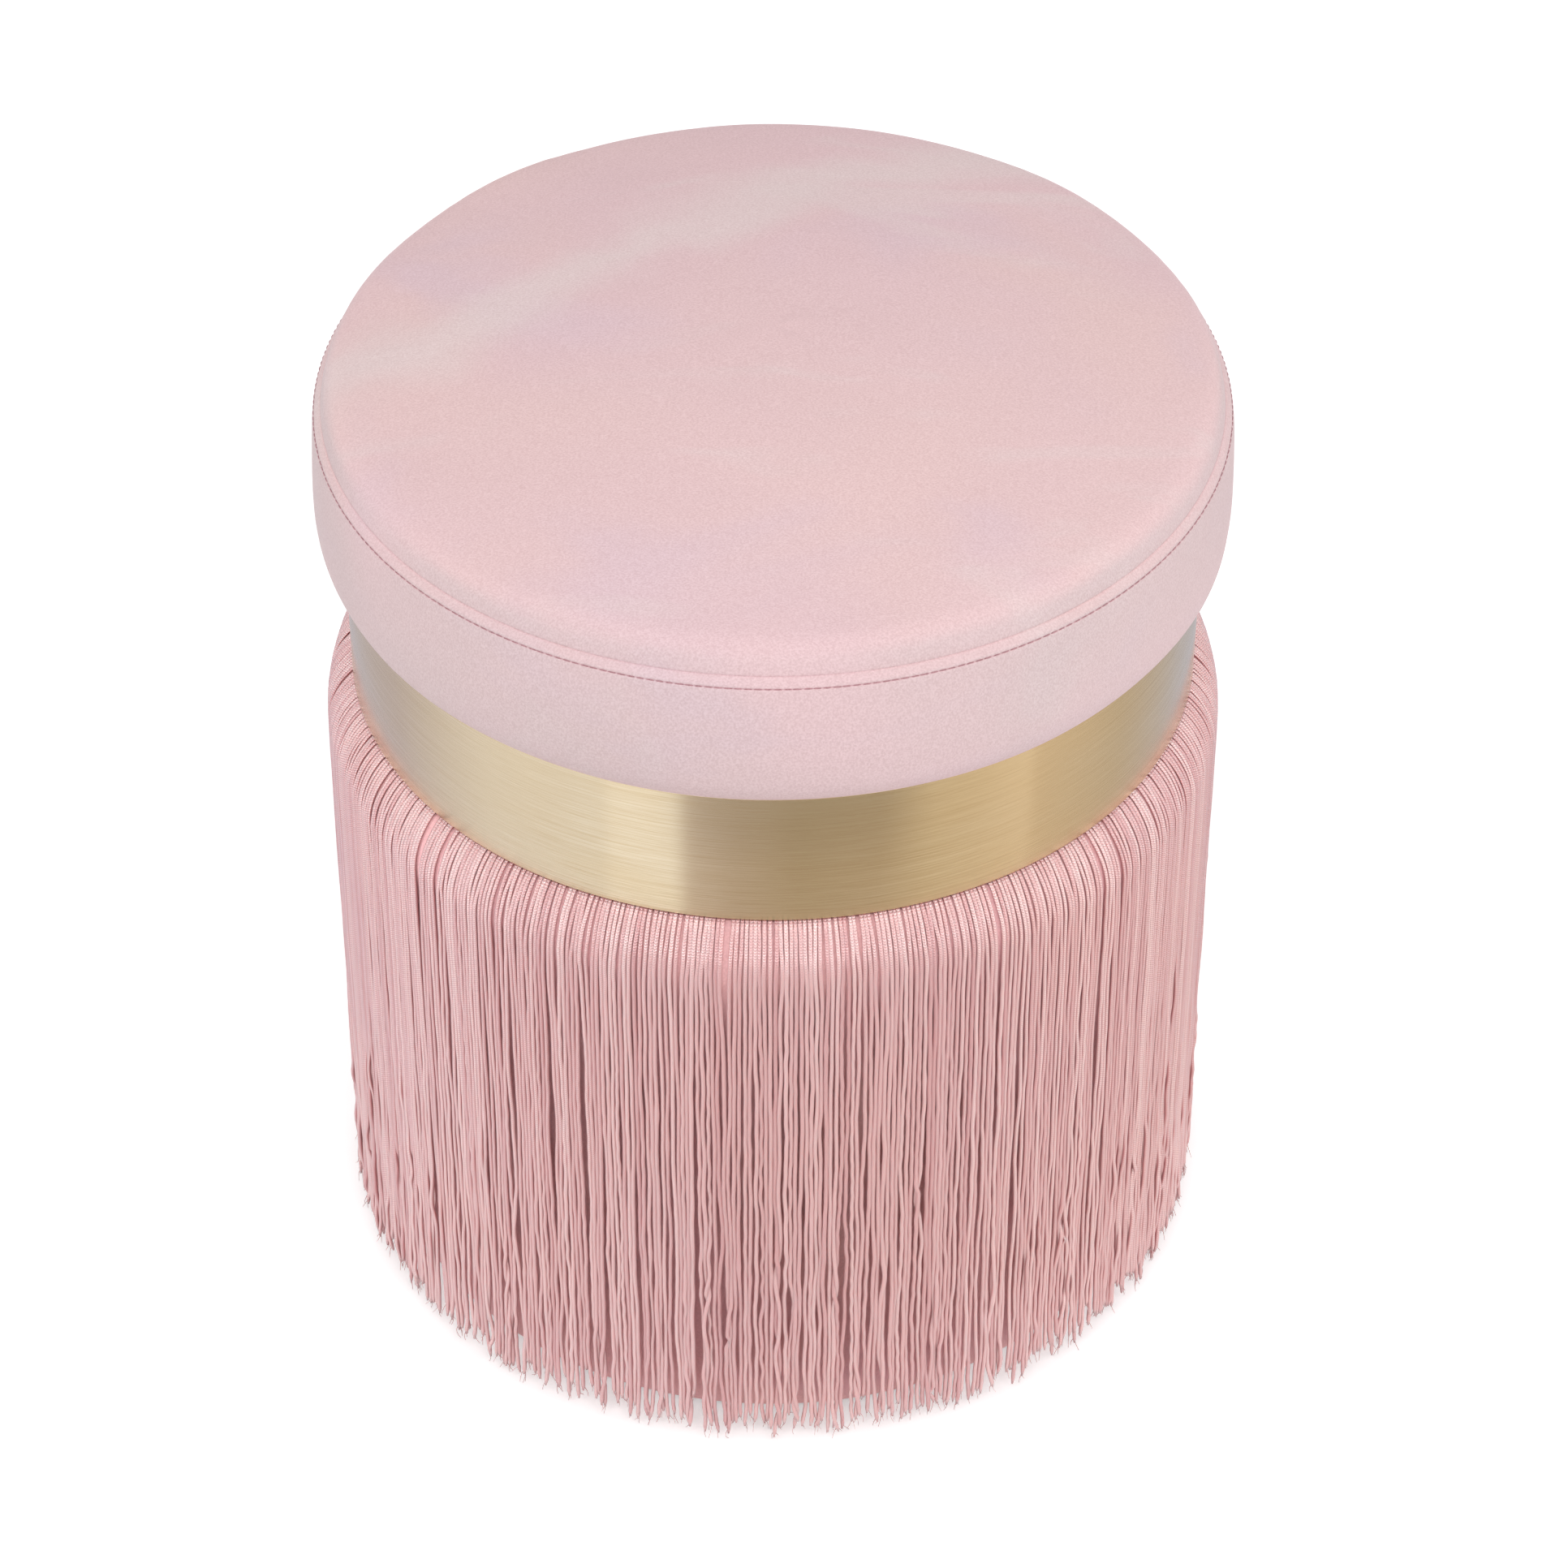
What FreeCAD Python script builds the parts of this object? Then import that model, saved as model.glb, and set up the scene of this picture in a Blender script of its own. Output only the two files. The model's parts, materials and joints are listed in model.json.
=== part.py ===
import FreeCAD, Part
import math
import operator
import os
from types import SimpleNamespace

import Sketcher

# Round fringed tuffet. The origin is the centre of the footprint on the floor,
# Z points up and the closing joints of the wrapped pieces face +Y, the back.
# Lengths are in millimetres, angles in degrees.

DIMENSIONS = (
    # Glides and dust cover under the base
    ("glide_count", 4),
    ("glide_height", 5.0),
    ("glide_radius", 11.0),
    ("glide_edge", 1.5),
    ("glide_setback", 1.0),
    ("nail_radius", 1.25),
    ("nail_head_radius", 4.0),
    ("nail_head_height", 1.0),
    ("nail_recess", 1.4),
    ("nail_length", 15.0),
    ("dust_cover_thickness", 0.6),
    # Timber frame of the base
    ("base_height", 272.0),
    ("base_board_setback", 10.0),
    ("base_top_thickness", 15.0),
    ("base_bottom_thickness", 15.0),
    ("base_bottom_width", 75.0),
    ("shell_thickness", 3.0),
    ("shell_joint", 0.5),
    ("post_count", 4),
    ("post_width", 40.0),
    ("post_setback", 7.0),
    ("post_screw_offset", 10.0),
    ("post_screw_length", 45.0),
    # Padding and velvet over the base
    ("base_cloth", 1.0),
    ("base_foot_wrap", 6.9),
    ("base_foot_edge", 4.0),
    ("base_hem_width", 28.0),
    ("soft_clearance", 0.3),
    # Fringe
    ("heading_setback", 2.8),
    ("heading_width", 25.0),
    ("heading_thickness", 2.2),
    ("cord_diameter", 1.6),
    ("cord_gap", 0.25),
    ("shoulder_reach", 14.3),
    ("shoulder_drop", 25.0),
    ("tip_lowest", 3.5),
    ("tip_spread", 11.0),
    # Collar and brass band
    ("collar_height", 60.0),
    ("collar_radius", 167.8),
    ("ring_width", 52.8),
    ("ring_thickness", 12.0),
    ("block_count", 4),
    ("block_depth", 40.0),
    ("block_width", 60.0),
    ("block_setback", 7.8),
    ("block_screw_offset", 18.0),
    ("block_screw_length", 30.0),
    ("band_thickness", 1.0),
    ("band_joint", 0.4),
    ("pin_radius", 0.8),
    ("pin_head_radius", 1.8),
    ("pin_head_height", 0.7),
    ("pin_length", 12.0),
    ("pin_spread", 8.0),
    # Bolts that hold seat, collar and base together
    ("bolt_radius", 3.0),
    ("bolt_head_radius", 7.5),
    ("bolt_head_height", 2.0),
    ("bolt_length", 90.0),
    ("bolt_hole_radius", 3.3),
    ("nut_barrel_radius", 4.0),
    ("nut_barrel_length", 9.0),
    ("nut_flange_radius", 9.0),
    ("nut_flange_thickness", 1.2),
    # Seat
    ("seat_board_setback", 3.0),
    ("seat_board_thickness", 15.0),
    ("seat_cloth", 1.2),
    ("seat_hem_width", 23.0),
    ("seat_side_height", 63.9),
    ("seat_overhang", 11.4),
    ("seat_side_bow", 300.0),
    ("seat_foot_edge", 16.0),
    ("seam_setback", 4.8),
    ("stitch_setback", 1.7),
    ("stitch_drop", 3.6),
    ("thread_radius", 0.4),
    ("crown_height", 29.9),
    ("crown_edge", 12.0),
    ("foam_edge", 3.0),
    ("batting_top", 8.0),
    ("batting_side", 4.7),
    # Wood screws and staples
    ("screw_radius", 2.0),
    ("screw_head_radius", 4.0),
    ("screw_head_height", 2.5),
    ("screw_point", 4.0),
    ("fastener_clearance", 0.05),
    ("staple_wire", 0.5),
    ("staple_width", 1.2),
    ("staple_crown", 10.0),
    ("staple_leg", 8.0),
    ("staple_count", 16),
    ("shell_staple_count", 12),
    ("outer_staple_setback", 5.0),
    ("inner_staple_setback", 20.0),
    ("seat_staple_setback", 10.0),
)

OPERATORS = {
    "+": operator.add,
    "-": operator.sub,
    "*": operator.mul,
    "/": operator.truediv,
}
SIN_45 = math.sqrt(0.5)
FULL_TURN = 360.0
BACK = 90.0
DIAGONAL = 45.0
# Flats round a cord, which stand for its twisted strands
CORD_SIDES = 8
# Cord tips repeat a fixed uneven rhythm: how many lengths, and the steps between them
TIP_LENGTHS = 12
TIP_WAVE = 2.4
TIP_STRIDE = 5

DOC = FreeCAD.newDocument("Tuffet")
SHEET = DOC.addObject("Spreadsheet::Sheet", "Sizes")
NODES = []


class Size:
    """A length with both its number and the sheet formula that gives it."""

    def __init__(self, value, formula):
        self.value = value
        self.formula = formula

    def __add__(self, other):
        return combine(self, "+", other)

    def __sub__(self, other):
        return combine(self, "-", other)

    def __rsub__(self, other):
        return combine(other, "-", self)

    def __mul__(self, other):
        return combine(self, "*", other)

    def __rmul__(self, other):
        return combine(other, "*", self)

    def __truediv__(self, other):
        return combine(self, "/", other)


def as_size(number):
    """Turn a plain number into a Size, and leave a Size as it is."""
    if isinstance(number, Size):
        return number
    return Size(number, repr(number))


def combine(left, sign, right):
    """Join two lengths by one arithmetic sign."""
    first = as_size(left)
    second = as_size(right)
    value = OPERATORS[sign](first.value, second.value)
    return Size(value, "({} {} {})".format(first.formula, sign, second.formula))


def fill_sheet():
    """Write every driving dimension to the sheet and return them by name."""
    sizes = {}
    for row, (alias, value) in enumerate(DIMENSIONS, start=1):
        SHEET.set("A{}".format(row), alias)
        SHEET.set("B{}".format(row), str(value))
        SHEET.setAlias("B{}".format(row), alias)
        sizes[alias] = Size(value, "Sizes." + alias)
    DOC.recompute()
    return SimpleNamespace(**sizes)


d = fill_sheet()

# Radii, from the collar in and out
band_radius = d.collar_radius + d.band_thickness
ring_inner = d.collar_radius - d.ring_width
block_circle = d.collar_radius - d.block_setback - d.block_depth / 2
heading_outer = d.collar_radius - d.heading_setback
board_radius = heading_outer - d.base_board_setback
shell_radius = board_radius + d.shell_thickness
foot_radius = shell_radius + d.base_foot_wrap
post_circle = board_radius - d.post_setback - d.post_width / 2
glide_circle = board_radius - d.glide_setback - d.glide_radius
outer_staple_circle = board_radius - d.outer_staple_setback
inner_staple_circle = board_radius - d.inner_staple_setback
seat_side_radius = d.collar_radius + d.seat_overhang
seat_underside_radius = seat_side_radius - d.seat_foot_edge
seat_board_radius = seat_underside_radius - d.seat_board_setback
seat_staple_circle = seat_board_radius - d.seat_staple_setback
seam_radius = seat_side_radius - d.seam_setback
stitch_radius = seat_side_radius - d.stitch_setback
foam_radius = seam_radius - d.seat_cloth - d.soft_clearance - d.batting_side

# Levels, from the floor up
dust_cover_base = d.glide_height
lower_hem_base = dust_cover_base + d.dust_cover_thickness
base_underside = lower_hem_base + d.base_cloth
post_base = base_underside + d.base_bottom_thickness
base_top = base_underside + d.base_height
post_top = base_top - d.base_top_thickness
heading_base = base_top + d.base_cloth
collar_base = heading_base + d.heading_thickness
collar_top = collar_base + d.collar_height
seat_board_base = collar_top + d.seat_cloth
seat_board_top = seat_board_base + d.seat_board_thickness
seam_level = collar_top + d.seat_side_height
stitch_level = seam_level - d.stitch_drop
block_base = collar_base + d.ring_thickness
block_top = collar_top - d.ring_thickness

# Shoulder of the fringe: two tangent arcs of an eighth of a turn each
cord_radius = d.cord_diameter / 2
cord_level = heading_base + d.heading_thickness / 2
SHOULDER_SCALE = SIN_45 ** 2 - (1 - SIN_45) ** 2
shoulder_tight = (d.shoulder_reach * SIN_45 - d.shoulder_drop * (1 - SIN_45)) / SHOULDER_SCALE
shoulder_wide = (d.shoulder_drop * SIN_45 - d.shoulder_reach * (1 - SIN_45)) / SHOULDER_SCALE


def new_body(label):
    """Start a body that may hold a group of separate solids."""
    body = DOC.addObject("PartDesign::Body", "Body")
    body.Label = label
    body.AllowCompound = True
    return body


def node(thing):
    """Keep an object as a finished piece; its Label names its file."""
    NODES.append(thing)
    return thing


def turn(thing, angle):
    """Turn an object about the Z axis."""
    thing.Placement = FreeCAD.Placement(
        FreeCAD.Vector(0, 0, 0), FreeCAD.Rotation(FreeCAD.Vector(0, 0, 1), angle)
    )
    return thing


def new_sketch(body, role, offset=None):
    """Attach a sketch to one of the body's own origin planes."""
    plane = next(item for item in body.Origin.OriginFeatures if item.Role == role)
    sketch = body.newObject("Sketcher::SketchObject", "Sketch")
    sketch.AttachmentSupport = [(plane, "")]
    sketch.MapMode = "FlatFace"
    if offset is not None:
        shift = FreeCAD.Vector(0, 0, offset.value)
        sketch.AttachmentOffset = FreeCAD.Placement(shift, FreeCAD.Rotation())
        sketch.setExpression("AttachmentOffset.Base.z", offset.formula)
    return sketch


def constrain(sketch, kind, *where, size):
    """Add a dimension to a sketch and bind it to the sheet."""
    index = sketch.addConstraint(Sketcher.Constraint(kind, *where, size.value))
    sketch.setExpression("Constraints[{}]".format(index), size.formula)


def line_to(across, height):
    """A corner reached by a straight side."""
    return (as_size(across), as_size(height), None, 0)


def arc_to(across, height, radius, side):
    """A corner reached by an arc: side is 1 for anticlockwise, -1 for clockwise."""
    return (as_size(across), as_size(height), as_size(radius), side)


def make_arc(start, end, radius, side):
    """The arc of under half a turn from start to end."""
    chord = end - start
    left = FreeCAD.Vector(-chord.y, chord.x, 0).normalize()
    rise = math.sqrt(radius ** 2 - (chord.Length / 2) ** 2)
    centre = (start + end) * 0.5 + left * (rise * side)
    first, last = (start, end) if side > 0 else (end, start)
    from_angle = math.atan2(first.y - centre.y, first.x - centre.x)
    to_angle = math.atan2(last.y - centre.y, last.x - centre.x)
    if to_angle < from_angle:
        to_angle += 2 * math.pi
    circle = Part.Circle(centre, FreeCAD.Vector(0, 0, 1), radius)
    return Part.ArcOfCircle(circle, from_angle, to_angle)


def draw_outline(sketch, corners):
    """Draw a closed outline through the corners and dimension each of them."""
    points = [FreeCAD.Vector(across.value, height.value, 0) for across, height, _, _ in corners]
    sides = []
    for index in range(len(corners)):
        _, _, radius, side = corners[(index + 1) % len(corners)]
        start = points[index]
        end = points[(index + 1) % len(corners)]
        if radius is None:
            edge = sketch.addGeometry(Part.LineSegment(start, end), False)
            sides.append((edge, 1, 2))
        else:
            edge = sketch.addGeometry(make_arc(start, end, radius.value, side), False)
            sides.append((edge, 1, 2) if side > 0 else (edge, 2, 1))
            constrain(sketch, "Radius", edge, size=radius)
    for index, (edge, start, _) in enumerate(sides):
        before, _, end = sides[index - 1]
        sketch.addConstraint(Sketcher.Constraint("Coincident", before, end, edge, start))
        across, height, _, _ = corners[index]
        if across.value == 0:
            sketch.addConstraint(Sketcher.Constraint("PointOnObject", edge, start, -2))
        else:
            constrain(sketch, "DistanceX", -1, 1, edge, start, size=across)
        constrain(sketch, "DistanceY", -1, 1, edge, start, size=height)


def revolve(body, sketch, axis="V_Axis", angle=None):
    """Turn a sketch about an axis of its own."""
    turned = body.newObject("PartDesign::Revolution", "Revolution")
    turned.Profile = sketch
    turned.ReferenceAxis = (sketch, [axis])
    turned.Angle = FULL_TURN
    if angle is not None:
        turned.setExpression("Angle", angle.formula)
    return turned


def pad(body, sketch, length):
    """Raise a sketch along its normal."""
    raised = body.newObject("PartDesign::Pad", "Pad")
    raised.Profile = sketch
    raised.Length = length.value
    raised.setExpression("Length", length.formula)
    return raised


def repeat_round(body, features, count, angle=None):
    """Repeat features about the body's Z axis, over a full turn if no angle is given."""
    axis = next(item for item in body.Origin.OriginFeatures if item.Role == "Z_Axis")
    pattern = body.newObject("PartDesign::PolarPattern", "PolarPattern")
    pattern.Refine = False
    pattern.Originals = features
    pattern.Axis = (axis, [""])
    pattern.Angle = FULL_TURN
    if angle is not None:
        pattern.setExpression("Angle", angle.formula)
    pattern.Occurrences = count.value
    pattern.setExpression("Occurrences", count.formula)
    body.Tip = pattern
    return pattern


def turned_piece(label, corners, angle=None):
    """A body of revolution about the Z axis, from an outline of radius and height."""
    body = new_body(label)
    sketch = new_sketch(body, "XZ_Plane")
    draw_outline(sketch, corners)
    revolve(body, sketch, angle=angle)
    return body


def disc(label, radius, base, thickness, inner=None):
    """A flat disc, or a flat ring where an inner radius is given."""
    body = new_body(label)
    sketch = new_sketch(body, "XY_Plane", offset=base)
    for size in (radius, inner):
        if size is not None:
            circle = Part.Circle(FreeCAD.Vector(0, 0, 0), FreeCAD.Vector(0, 0, 1), size.value)
            edge = sketch.addGeometry(circle, False)
            sketch.addConstraint(Sketcher.Constraint("Coincident", edge, 3, -1, 1))
            constrain(sketch, "Radius", edge, size=size)
    pad(body, sketch, thickness)
    return body


def wooden_block(label, centre, depth, width, base, height, angle):
    """A rectangular block on a circle, turned to stand at an angle about the Z axis."""
    body = new_body(label)
    sketch = new_sketch(body, "XY_Plane", offset=base)
    near = centre - depth / 2
    far = centre + depth / 2
    side = width / 2
    corners = [line_to(near, 0 - side), line_to(far, 0 - side), line_to(far, side), line_to(near, side)]
    draw_outline(sketch, corners)
    pad(body, sketch, height)
    return turn(body, angle)


def cut(label, blank, *tools):
    """Take the tools out of a blank; the result carries the piece's label."""
    blank.Label = label + "_blank"
    holes = DOC.addObject("Part::Compound", "Holes")
    holes.Links = list(tools)
    piece = DOC.addObject("Part::Cut", "Cut")
    piece.Base = blank
    piece.Tool = holes
    piece.Refine = False
    piece.Label = label
    return piece


def spindle(body, centre, profile, offset=None):
    """Turn a profile of (radius, height) pairs about an upright axis at a distance."""
    sketch = new_sketch(body, "XZ_Plane", offset=offset)
    draw_outline(sketch, [line_to(centre + radius, height) for radius, height in profile])
    first = profile[0][1]
    last = profile[-1][1]
    foot = FreeCAD.Vector(centre.value, first.value, 0)
    head = FreeCAD.Vector(centre.value, last.value, 0)
    axis = sketch.addGeometry(Part.LineSegment(foot, head), True)
    sketch.addConstraint(Sketcher.Constraint("Vertical", axis))
    constrain(sketch, "DistanceX", -1, 1, axis, 1, size=centre)
    constrain(sketch, "DistanceY", -1, 1, axis, 1, size=first)
    constrain(sketch, "DistanceY", -1, 1, axis, 2, size=last)
    return revolve(body, sketch, axis="Axis0")


def screw_profile(head, way, length, clearance):
    """Countersunk screw from its head's flat face: way is 1 for up and -1 for down."""
    shank = d.screw_radius + clearance
    rim = d.screw_head_radius + clearance
    neck = head + way * d.screw_head_height
    point = head + way * (length - d.screw_point)
    tip = head + way * (length + clearance)
    flat = (as_size(0), head)
    return [flat, (rim, head), (shank, neck), (shank, point), (as_size(0), tip)]


def paired_screws(label, centre, offset, low, high, length, count, clearance=as_size(0)):
    """Screws up through the lower face and down through the upper face, beside each axis."""
    body = new_body(label)
    features = []
    for shift in (offset, 0 - offset):
        features.append(spindle(body, centre, screw_profile(low, 1, length, clearance), shift))
        features.append(spindle(body, centre, screw_profile(high, -1, length, clearance), shift))
    repeat_round(body, features, count)
    return body


def staple_corners(face, way):
    """U outline of a staple whose crown lies flush with a face, as (across, depth)."""
    half = d.staple_crown / 2
    inside = half - d.staple_wire
    crown = face + way * d.staple_wire
    tip = face + way * d.staple_leg
    return [
        (0 - half, face),
        (half, face),
        (half, tip),
        (inside, tip),
        (inside, crown),
        (0 - inside, crown),
        (0 - inside, tip),
        (0 - half, tip),
    ]


def upright_staples(label, circle, face, way, count):
    """Staples driven up or down through a face, their crowns along a circle."""
    body = new_body(label)
    sketch = new_sketch(body, "YZ_Plane", offset=circle - d.staple_width / 2)
    draw_outline(sketch, [line_to(across, depth) for across, depth in staple_corners(face, way)])
    repeat_round(body, [pad(body, sketch, d.staple_width)], count)
    return turn(body, FULL_TURN / count.value / 2)


def inward_staples(label, face, levels, count):
    """Staples driven towards the axis through a round wall, at each of the levels."""
    body = new_body(label)
    features = []
    for level in levels:
        sketch = new_sketch(body, "XY_Plane", offset=level - d.staple_width / 2)
        corners = [line_to(depth, across) for across, depth in staple_corners(face, -1)]
        draw_outline(sketch, corners)
        features.append(pad(body, sketch, d.staple_width))
    repeat_round(body, features, count)
    return body


def crown_corners(radius, level, height, edge):
    """Domed top: from the rim up a round edge, then over a spherical crown to the axis."""
    dome = (radius * radius + height * height - 2 * radius * edge) / (2 * (height - edge))
    share = dome / (dome - edge)
    dome_centre = level + height - dome
    meet_radius = (radius - edge) * share
    meet_level = dome_centre + (level - dome_centre) * share
    return [
        arc_to(meet_radius, meet_level, edge, 1),
        arc_to(0, level + height, dome, 1),
    ]


def reversed_crown_corners(radius, level, height, edge):
    """The same dome from the axis out to the rim."""
    meet, top = crown_corners(radius, level, height, edge)
    return [
        line_to(top[0], top[1]),
        arc_to(meet[0], meet[1], top[2], -1),
        arc_to(radius, level, meet[2], -1),
    ]


def seat_side_corners(inset):
    """Side of the seat from the seam down to its flat underside, drawn in by an inset."""
    foot_edge = d.seat_foot_edge - inset
    bow = d.seat_side_bow - inset
    return [
        line_to(seam_radius - inset, seam_level),
        line_to(stitch_radius - inset, stitch_level),
        arc_to(seat_side_radius - inset, collar_top + d.seat_foot_edge, bow, -1),
        arc_to(seat_underside_radius, collar_top + inset, foot_edge, -1),
    ]


def retrace(corners):
    """The same corners in the opposite order, each arc kept between its own ends."""
    back = []
    for index in range(len(corners) - 1, -1, -1):
        across, height, _, _ = corners[index]
        if index == len(corners) - 1:
            back.append(line_to(across, height))
        else:
            _, _, radius, side = corners[index + 1]
            back.append((across, height, radius, -side))
    return back


def base_side_corners(inset):
    """Side of the base from its flat top over the shoulder down to its flat underside."""
    gap = d.heading_thickness / 2 + inset
    tight = shoulder_tight - gap
    wide = shoulder_wide - gap
    first_centre = cord_level - shoulder_tight
    second_across = heading_outer + (shoulder_tight - shoulder_wide) * SIN_45
    second_centre = first_centre + (shoulder_tight - shoulder_wide) * SIN_45
    foot_edge = d.base_foot_edge - inset
    corner = foot_radius - d.base_foot_edge
    return [
        line_to(heading_outer, cord_level - gap),
        arc_to(heading_outer + tight * SIN_45, first_centre + tight * SIN_45, tight, -1),
        arc_to(second_across + wide, second_centre, wide, -1),
        line_to(foot_radius - inset, lower_hem_base + d.base_foot_edge),
        arc_to(corner, lower_hem_base + inset, foot_edge, -1),
    ]


def make_glide(index):
    """Round plastic foot with a rounded rim and a recess for its nail."""
    body = new_body("glide_{}".format(index + 1))
    hole = d.nail_radius + d.fastener_clearance
    recess = d.nail_head_radius + d.fastener_clearance
    profile = [
        (hole, d.nail_recess),
        (recess, d.nail_recess),
        (recess, as_size(0)),
        (d.glide_radius - d.glide_edge, as_size(0)),
        (d.glide_radius, d.glide_edge),
        (d.glide_radius, d.glide_height),
        (hole, d.glide_height),
    ]
    spindle(body, glide_circle, profile)
    return turn(body, DIAGONAL + index * FULL_TURN / d.glide_count.value)


def make_glide_nails(label, clearance=as_size(0)):
    """Nails up through the glides into the bottom board."""
    body = new_body(label)
    head_base = d.nail_recess - d.nail_head_height
    shank = d.nail_radius + clearance
    head = d.nail_head_radius + clearance
    profile = [
        (as_size(0), head_base),
        (head, head_base),
        (head, d.nail_recess),
        (shank, d.nail_recess),
        (shank, d.nail_recess + d.nail_length),
        (as_size(0), d.nail_recess + d.nail_length + clearance),
    ]
    repeat_round(body, [spindle(body, glide_circle, profile)], d.glide_count)
    return turn(body, DIAGONAL)


def make_bolts(label):
    """Flat-headed bolts up through the base, the collar and the seat board."""
    body = new_body(label)
    profile = [
        (as_size(0), post_top - d.bolt_head_height),
        (d.bolt_head_radius, post_top - d.bolt_head_height),
        (d.bolt_head_radius, post_top),
        (d.bolt_radius, post_top),
        (d.bolt_radius, post_top + d.bolt_length),
        (as_size(0), post_top + d.bolt_length),
    ]
    repeat_round(body, [spindle(body, block_circle, profile)], d.block_count)
    return turn(body, DIAGONAL)


def make_bolt_holes(label):
    """Clearance holes for the bolts, from under the base up into the seat board."""
    body = new_body(label)
    profile = [
        (as_size(0), post_top),
        (d.bolt_hole_radius, post_top),
        (d.bolt_hole_radius, seat_board_top),
        (as_size(0), seat_board_top),
    ]
    repeat_round(body, [spindle(body, block_circle, profile)], d.block_count)
    return turn(body, DIAGONAL)


def make_tee_nuts(label, bored, clearance=as_size(0)):
    """Flanged nuts let into the top of the seat board; a bored one takes its bolt."""
    body = new_body(label)
    bore = d.bolt_radius + d.fastener_clearance if bored else as_size(0)
    barrel = d.nut_barrel_radius + clearance
    flange = d.nut_flange_radius + clearance
    flange_base = seat_board_top - d.nut_flange_thickness
    barrel_base = flange_base - d.nut_barrel_length
    profile = [
        (bore, barrel_base),
        (barrel, barrel_base),
        (barrel, flange_base),
        (flange, flange_base),
        (flange, seat_board_top),
        (bore, seat_board_top),
    ]
    repeat_round(body, [spindle(body, block_circle, profile)], d.block_count)
    return turn(body, DIAGONAL)


def make_band_pins(label, clearance=as_size(0)):
    """Dome-headed brass pins beside the band's joint, one row into each collar ring."""
    body = new_body(label)
    features = []
    for level in (collar_base + d.ring_thickness / 2, collar_top - d.ring_thickness / 2):
        shank = d.pin_radius + clearance
        head = d.pin_head_radius + clearance
        sketch = new_sketch(body, "XZ_Plane")
        corners = [
            line_to(band_radius - d.pin_length, level),
            line_to(band_radius - d.pin_length, level + shank),
            line_to(band_radius, level + shank),
            line_to(band_radius, level + head),
            line_to(band_radius + d.pin_head_height, level + shank),
            line_to(band_radius + d.pin_head_height, level),
        ]
        draw_outline(sketch, corners)
        start = FreeCAD.Vector(band_radius.value, level.value, 0)
        end = FreeCAD.Vector(band_radius.value + d.pin_length.value, level.value, 0)
        axis = sketch.addGeometry(Part.LineSegment(start, end), True)
        sketch.addConstraint(Sketcher.Constraint("Horizontal", axis))
        constrain(sketch, "DistanceX", -1, 1, axis, 1, size=band_radius)
        constrain(sketch, "DistanceX", axis, 1, axis, 2, size=d.pin_length)
        constrain(sketch, "DistanceY", -1, 1, axis, 1, size=level)
        features.append(revolve(body, sketch, axis="Axis0"))
    repeat_round(body, features, as_size(len(features)), angle=d.pin_spread)
    return turn(body, BACK - d.pin_spread.value / 2)


def cord_section(centre):
    """Outline of a cord where it leaves the heading: its flats are a diameter apart."""
    corner = cord_radius.value / math.cos(math.pi / CORD_SIDES)
    points = []
    for index in range(CORD_SIDES + 1):
        angle = (index + 0.5) * 2 * math.pi / CORD_SIDES
        points.append(centre + FreeCAD.Vector(0, corner * math.cos(angle), corner * math.sin(angle)))
    return Part.makePolygon(points)


def make_cord(tip):
    """One cord: out of the heading, over the shoulder and straight down to its tip."""
    start = FreeCAD.Vector(heading_outer.value, 0, cord_level.value)
    tight = shoulder_tight.value
    wide = shoulder_wide.value
    half = math.radians(DIAGONAL / 2)
    first = start - FreeCAD.Vector(0, 0, tight)
    over = first + FreeCAD.Vector(tight * math.sin(half), 0, tight * math.cos(half))
    meet = first + FreeCAD.Vector(tight * SIN_45, 0, tight * SIN_45)
    second = meet - FreeCAD.Vector(wide * SIN_45, 0, wide * SIN_45)
    round_side = second + FreeCAD.Vector(wide * math.cos(half), 0, wide * math.sin(half))
    drop = second + FreeCAD.Vector(wide, 0, 0)
    end = FreeCAD.Vector(drop.x, 0, tip)
    path = Part.Wire([
        Part.Arc(start, over, meet).toShape(),
        Part.Arc(meet, round_side, drop).toShape(),
        Part.LineSegment(drop, end).toShape(),
    ])
    return path.makePipeShell([cord_section(start)], True, False)


def make_fringe_cords():
    """Every cord of the fringe, as close round the heading as the gap between cords allows."""
    kinds = []
    for index in range(TIP_LENGTHS):
        lift = (1 + math.sin(index * TIP_WAVE)) / 2
        kinds.append(make_cord(d.tip_lowest.value + d.tip_spread.value * lift))
    quarter_turn = math.pi / 2 * heading_outer.value
    cord_count = 4 * math.floor(quarter_turn / (d.cord_diameter.value + d.cord_gap.value))
    cords = []
    for index in range(cord_count):
        kind = (index * TIP_STRIDE + index // TIP_LENGTHS) % TIP_LENGTHS
        cord = kinds[kind].copy()
        angle = index * FULL_TURN / cord_count
        cord.rotate(FreeCAD.Vector(0, 0, 0), FreeCAD.Vector(0, 0, 1), angle)
        cords.append(cord)
    fringe = DOC.addObject("Part::Feature", "Fringe")
    fringe.Label = "fringe_cords"
    fringe.Shape = Part.makeCompound(cords)
    fringe.Placement = FreeCAD.Placement()
    return fringe


def make_topstitch(label, clearance=as_size(0)):
    """The ring of thread below the seam, or the groove that it lies in."""
    ring = DOC.addObject("Part::Torus", "Thread")
    ring.Label = label
    thread = d.thread_radius + clearance
    ring.setExpression("Radius1", stitch_radius.formula)
    ring.setExpression("Radius2", thread.formula)
    ring.setExpression("Placement.Base.z", stitch_level.formula)
    return ring


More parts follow.
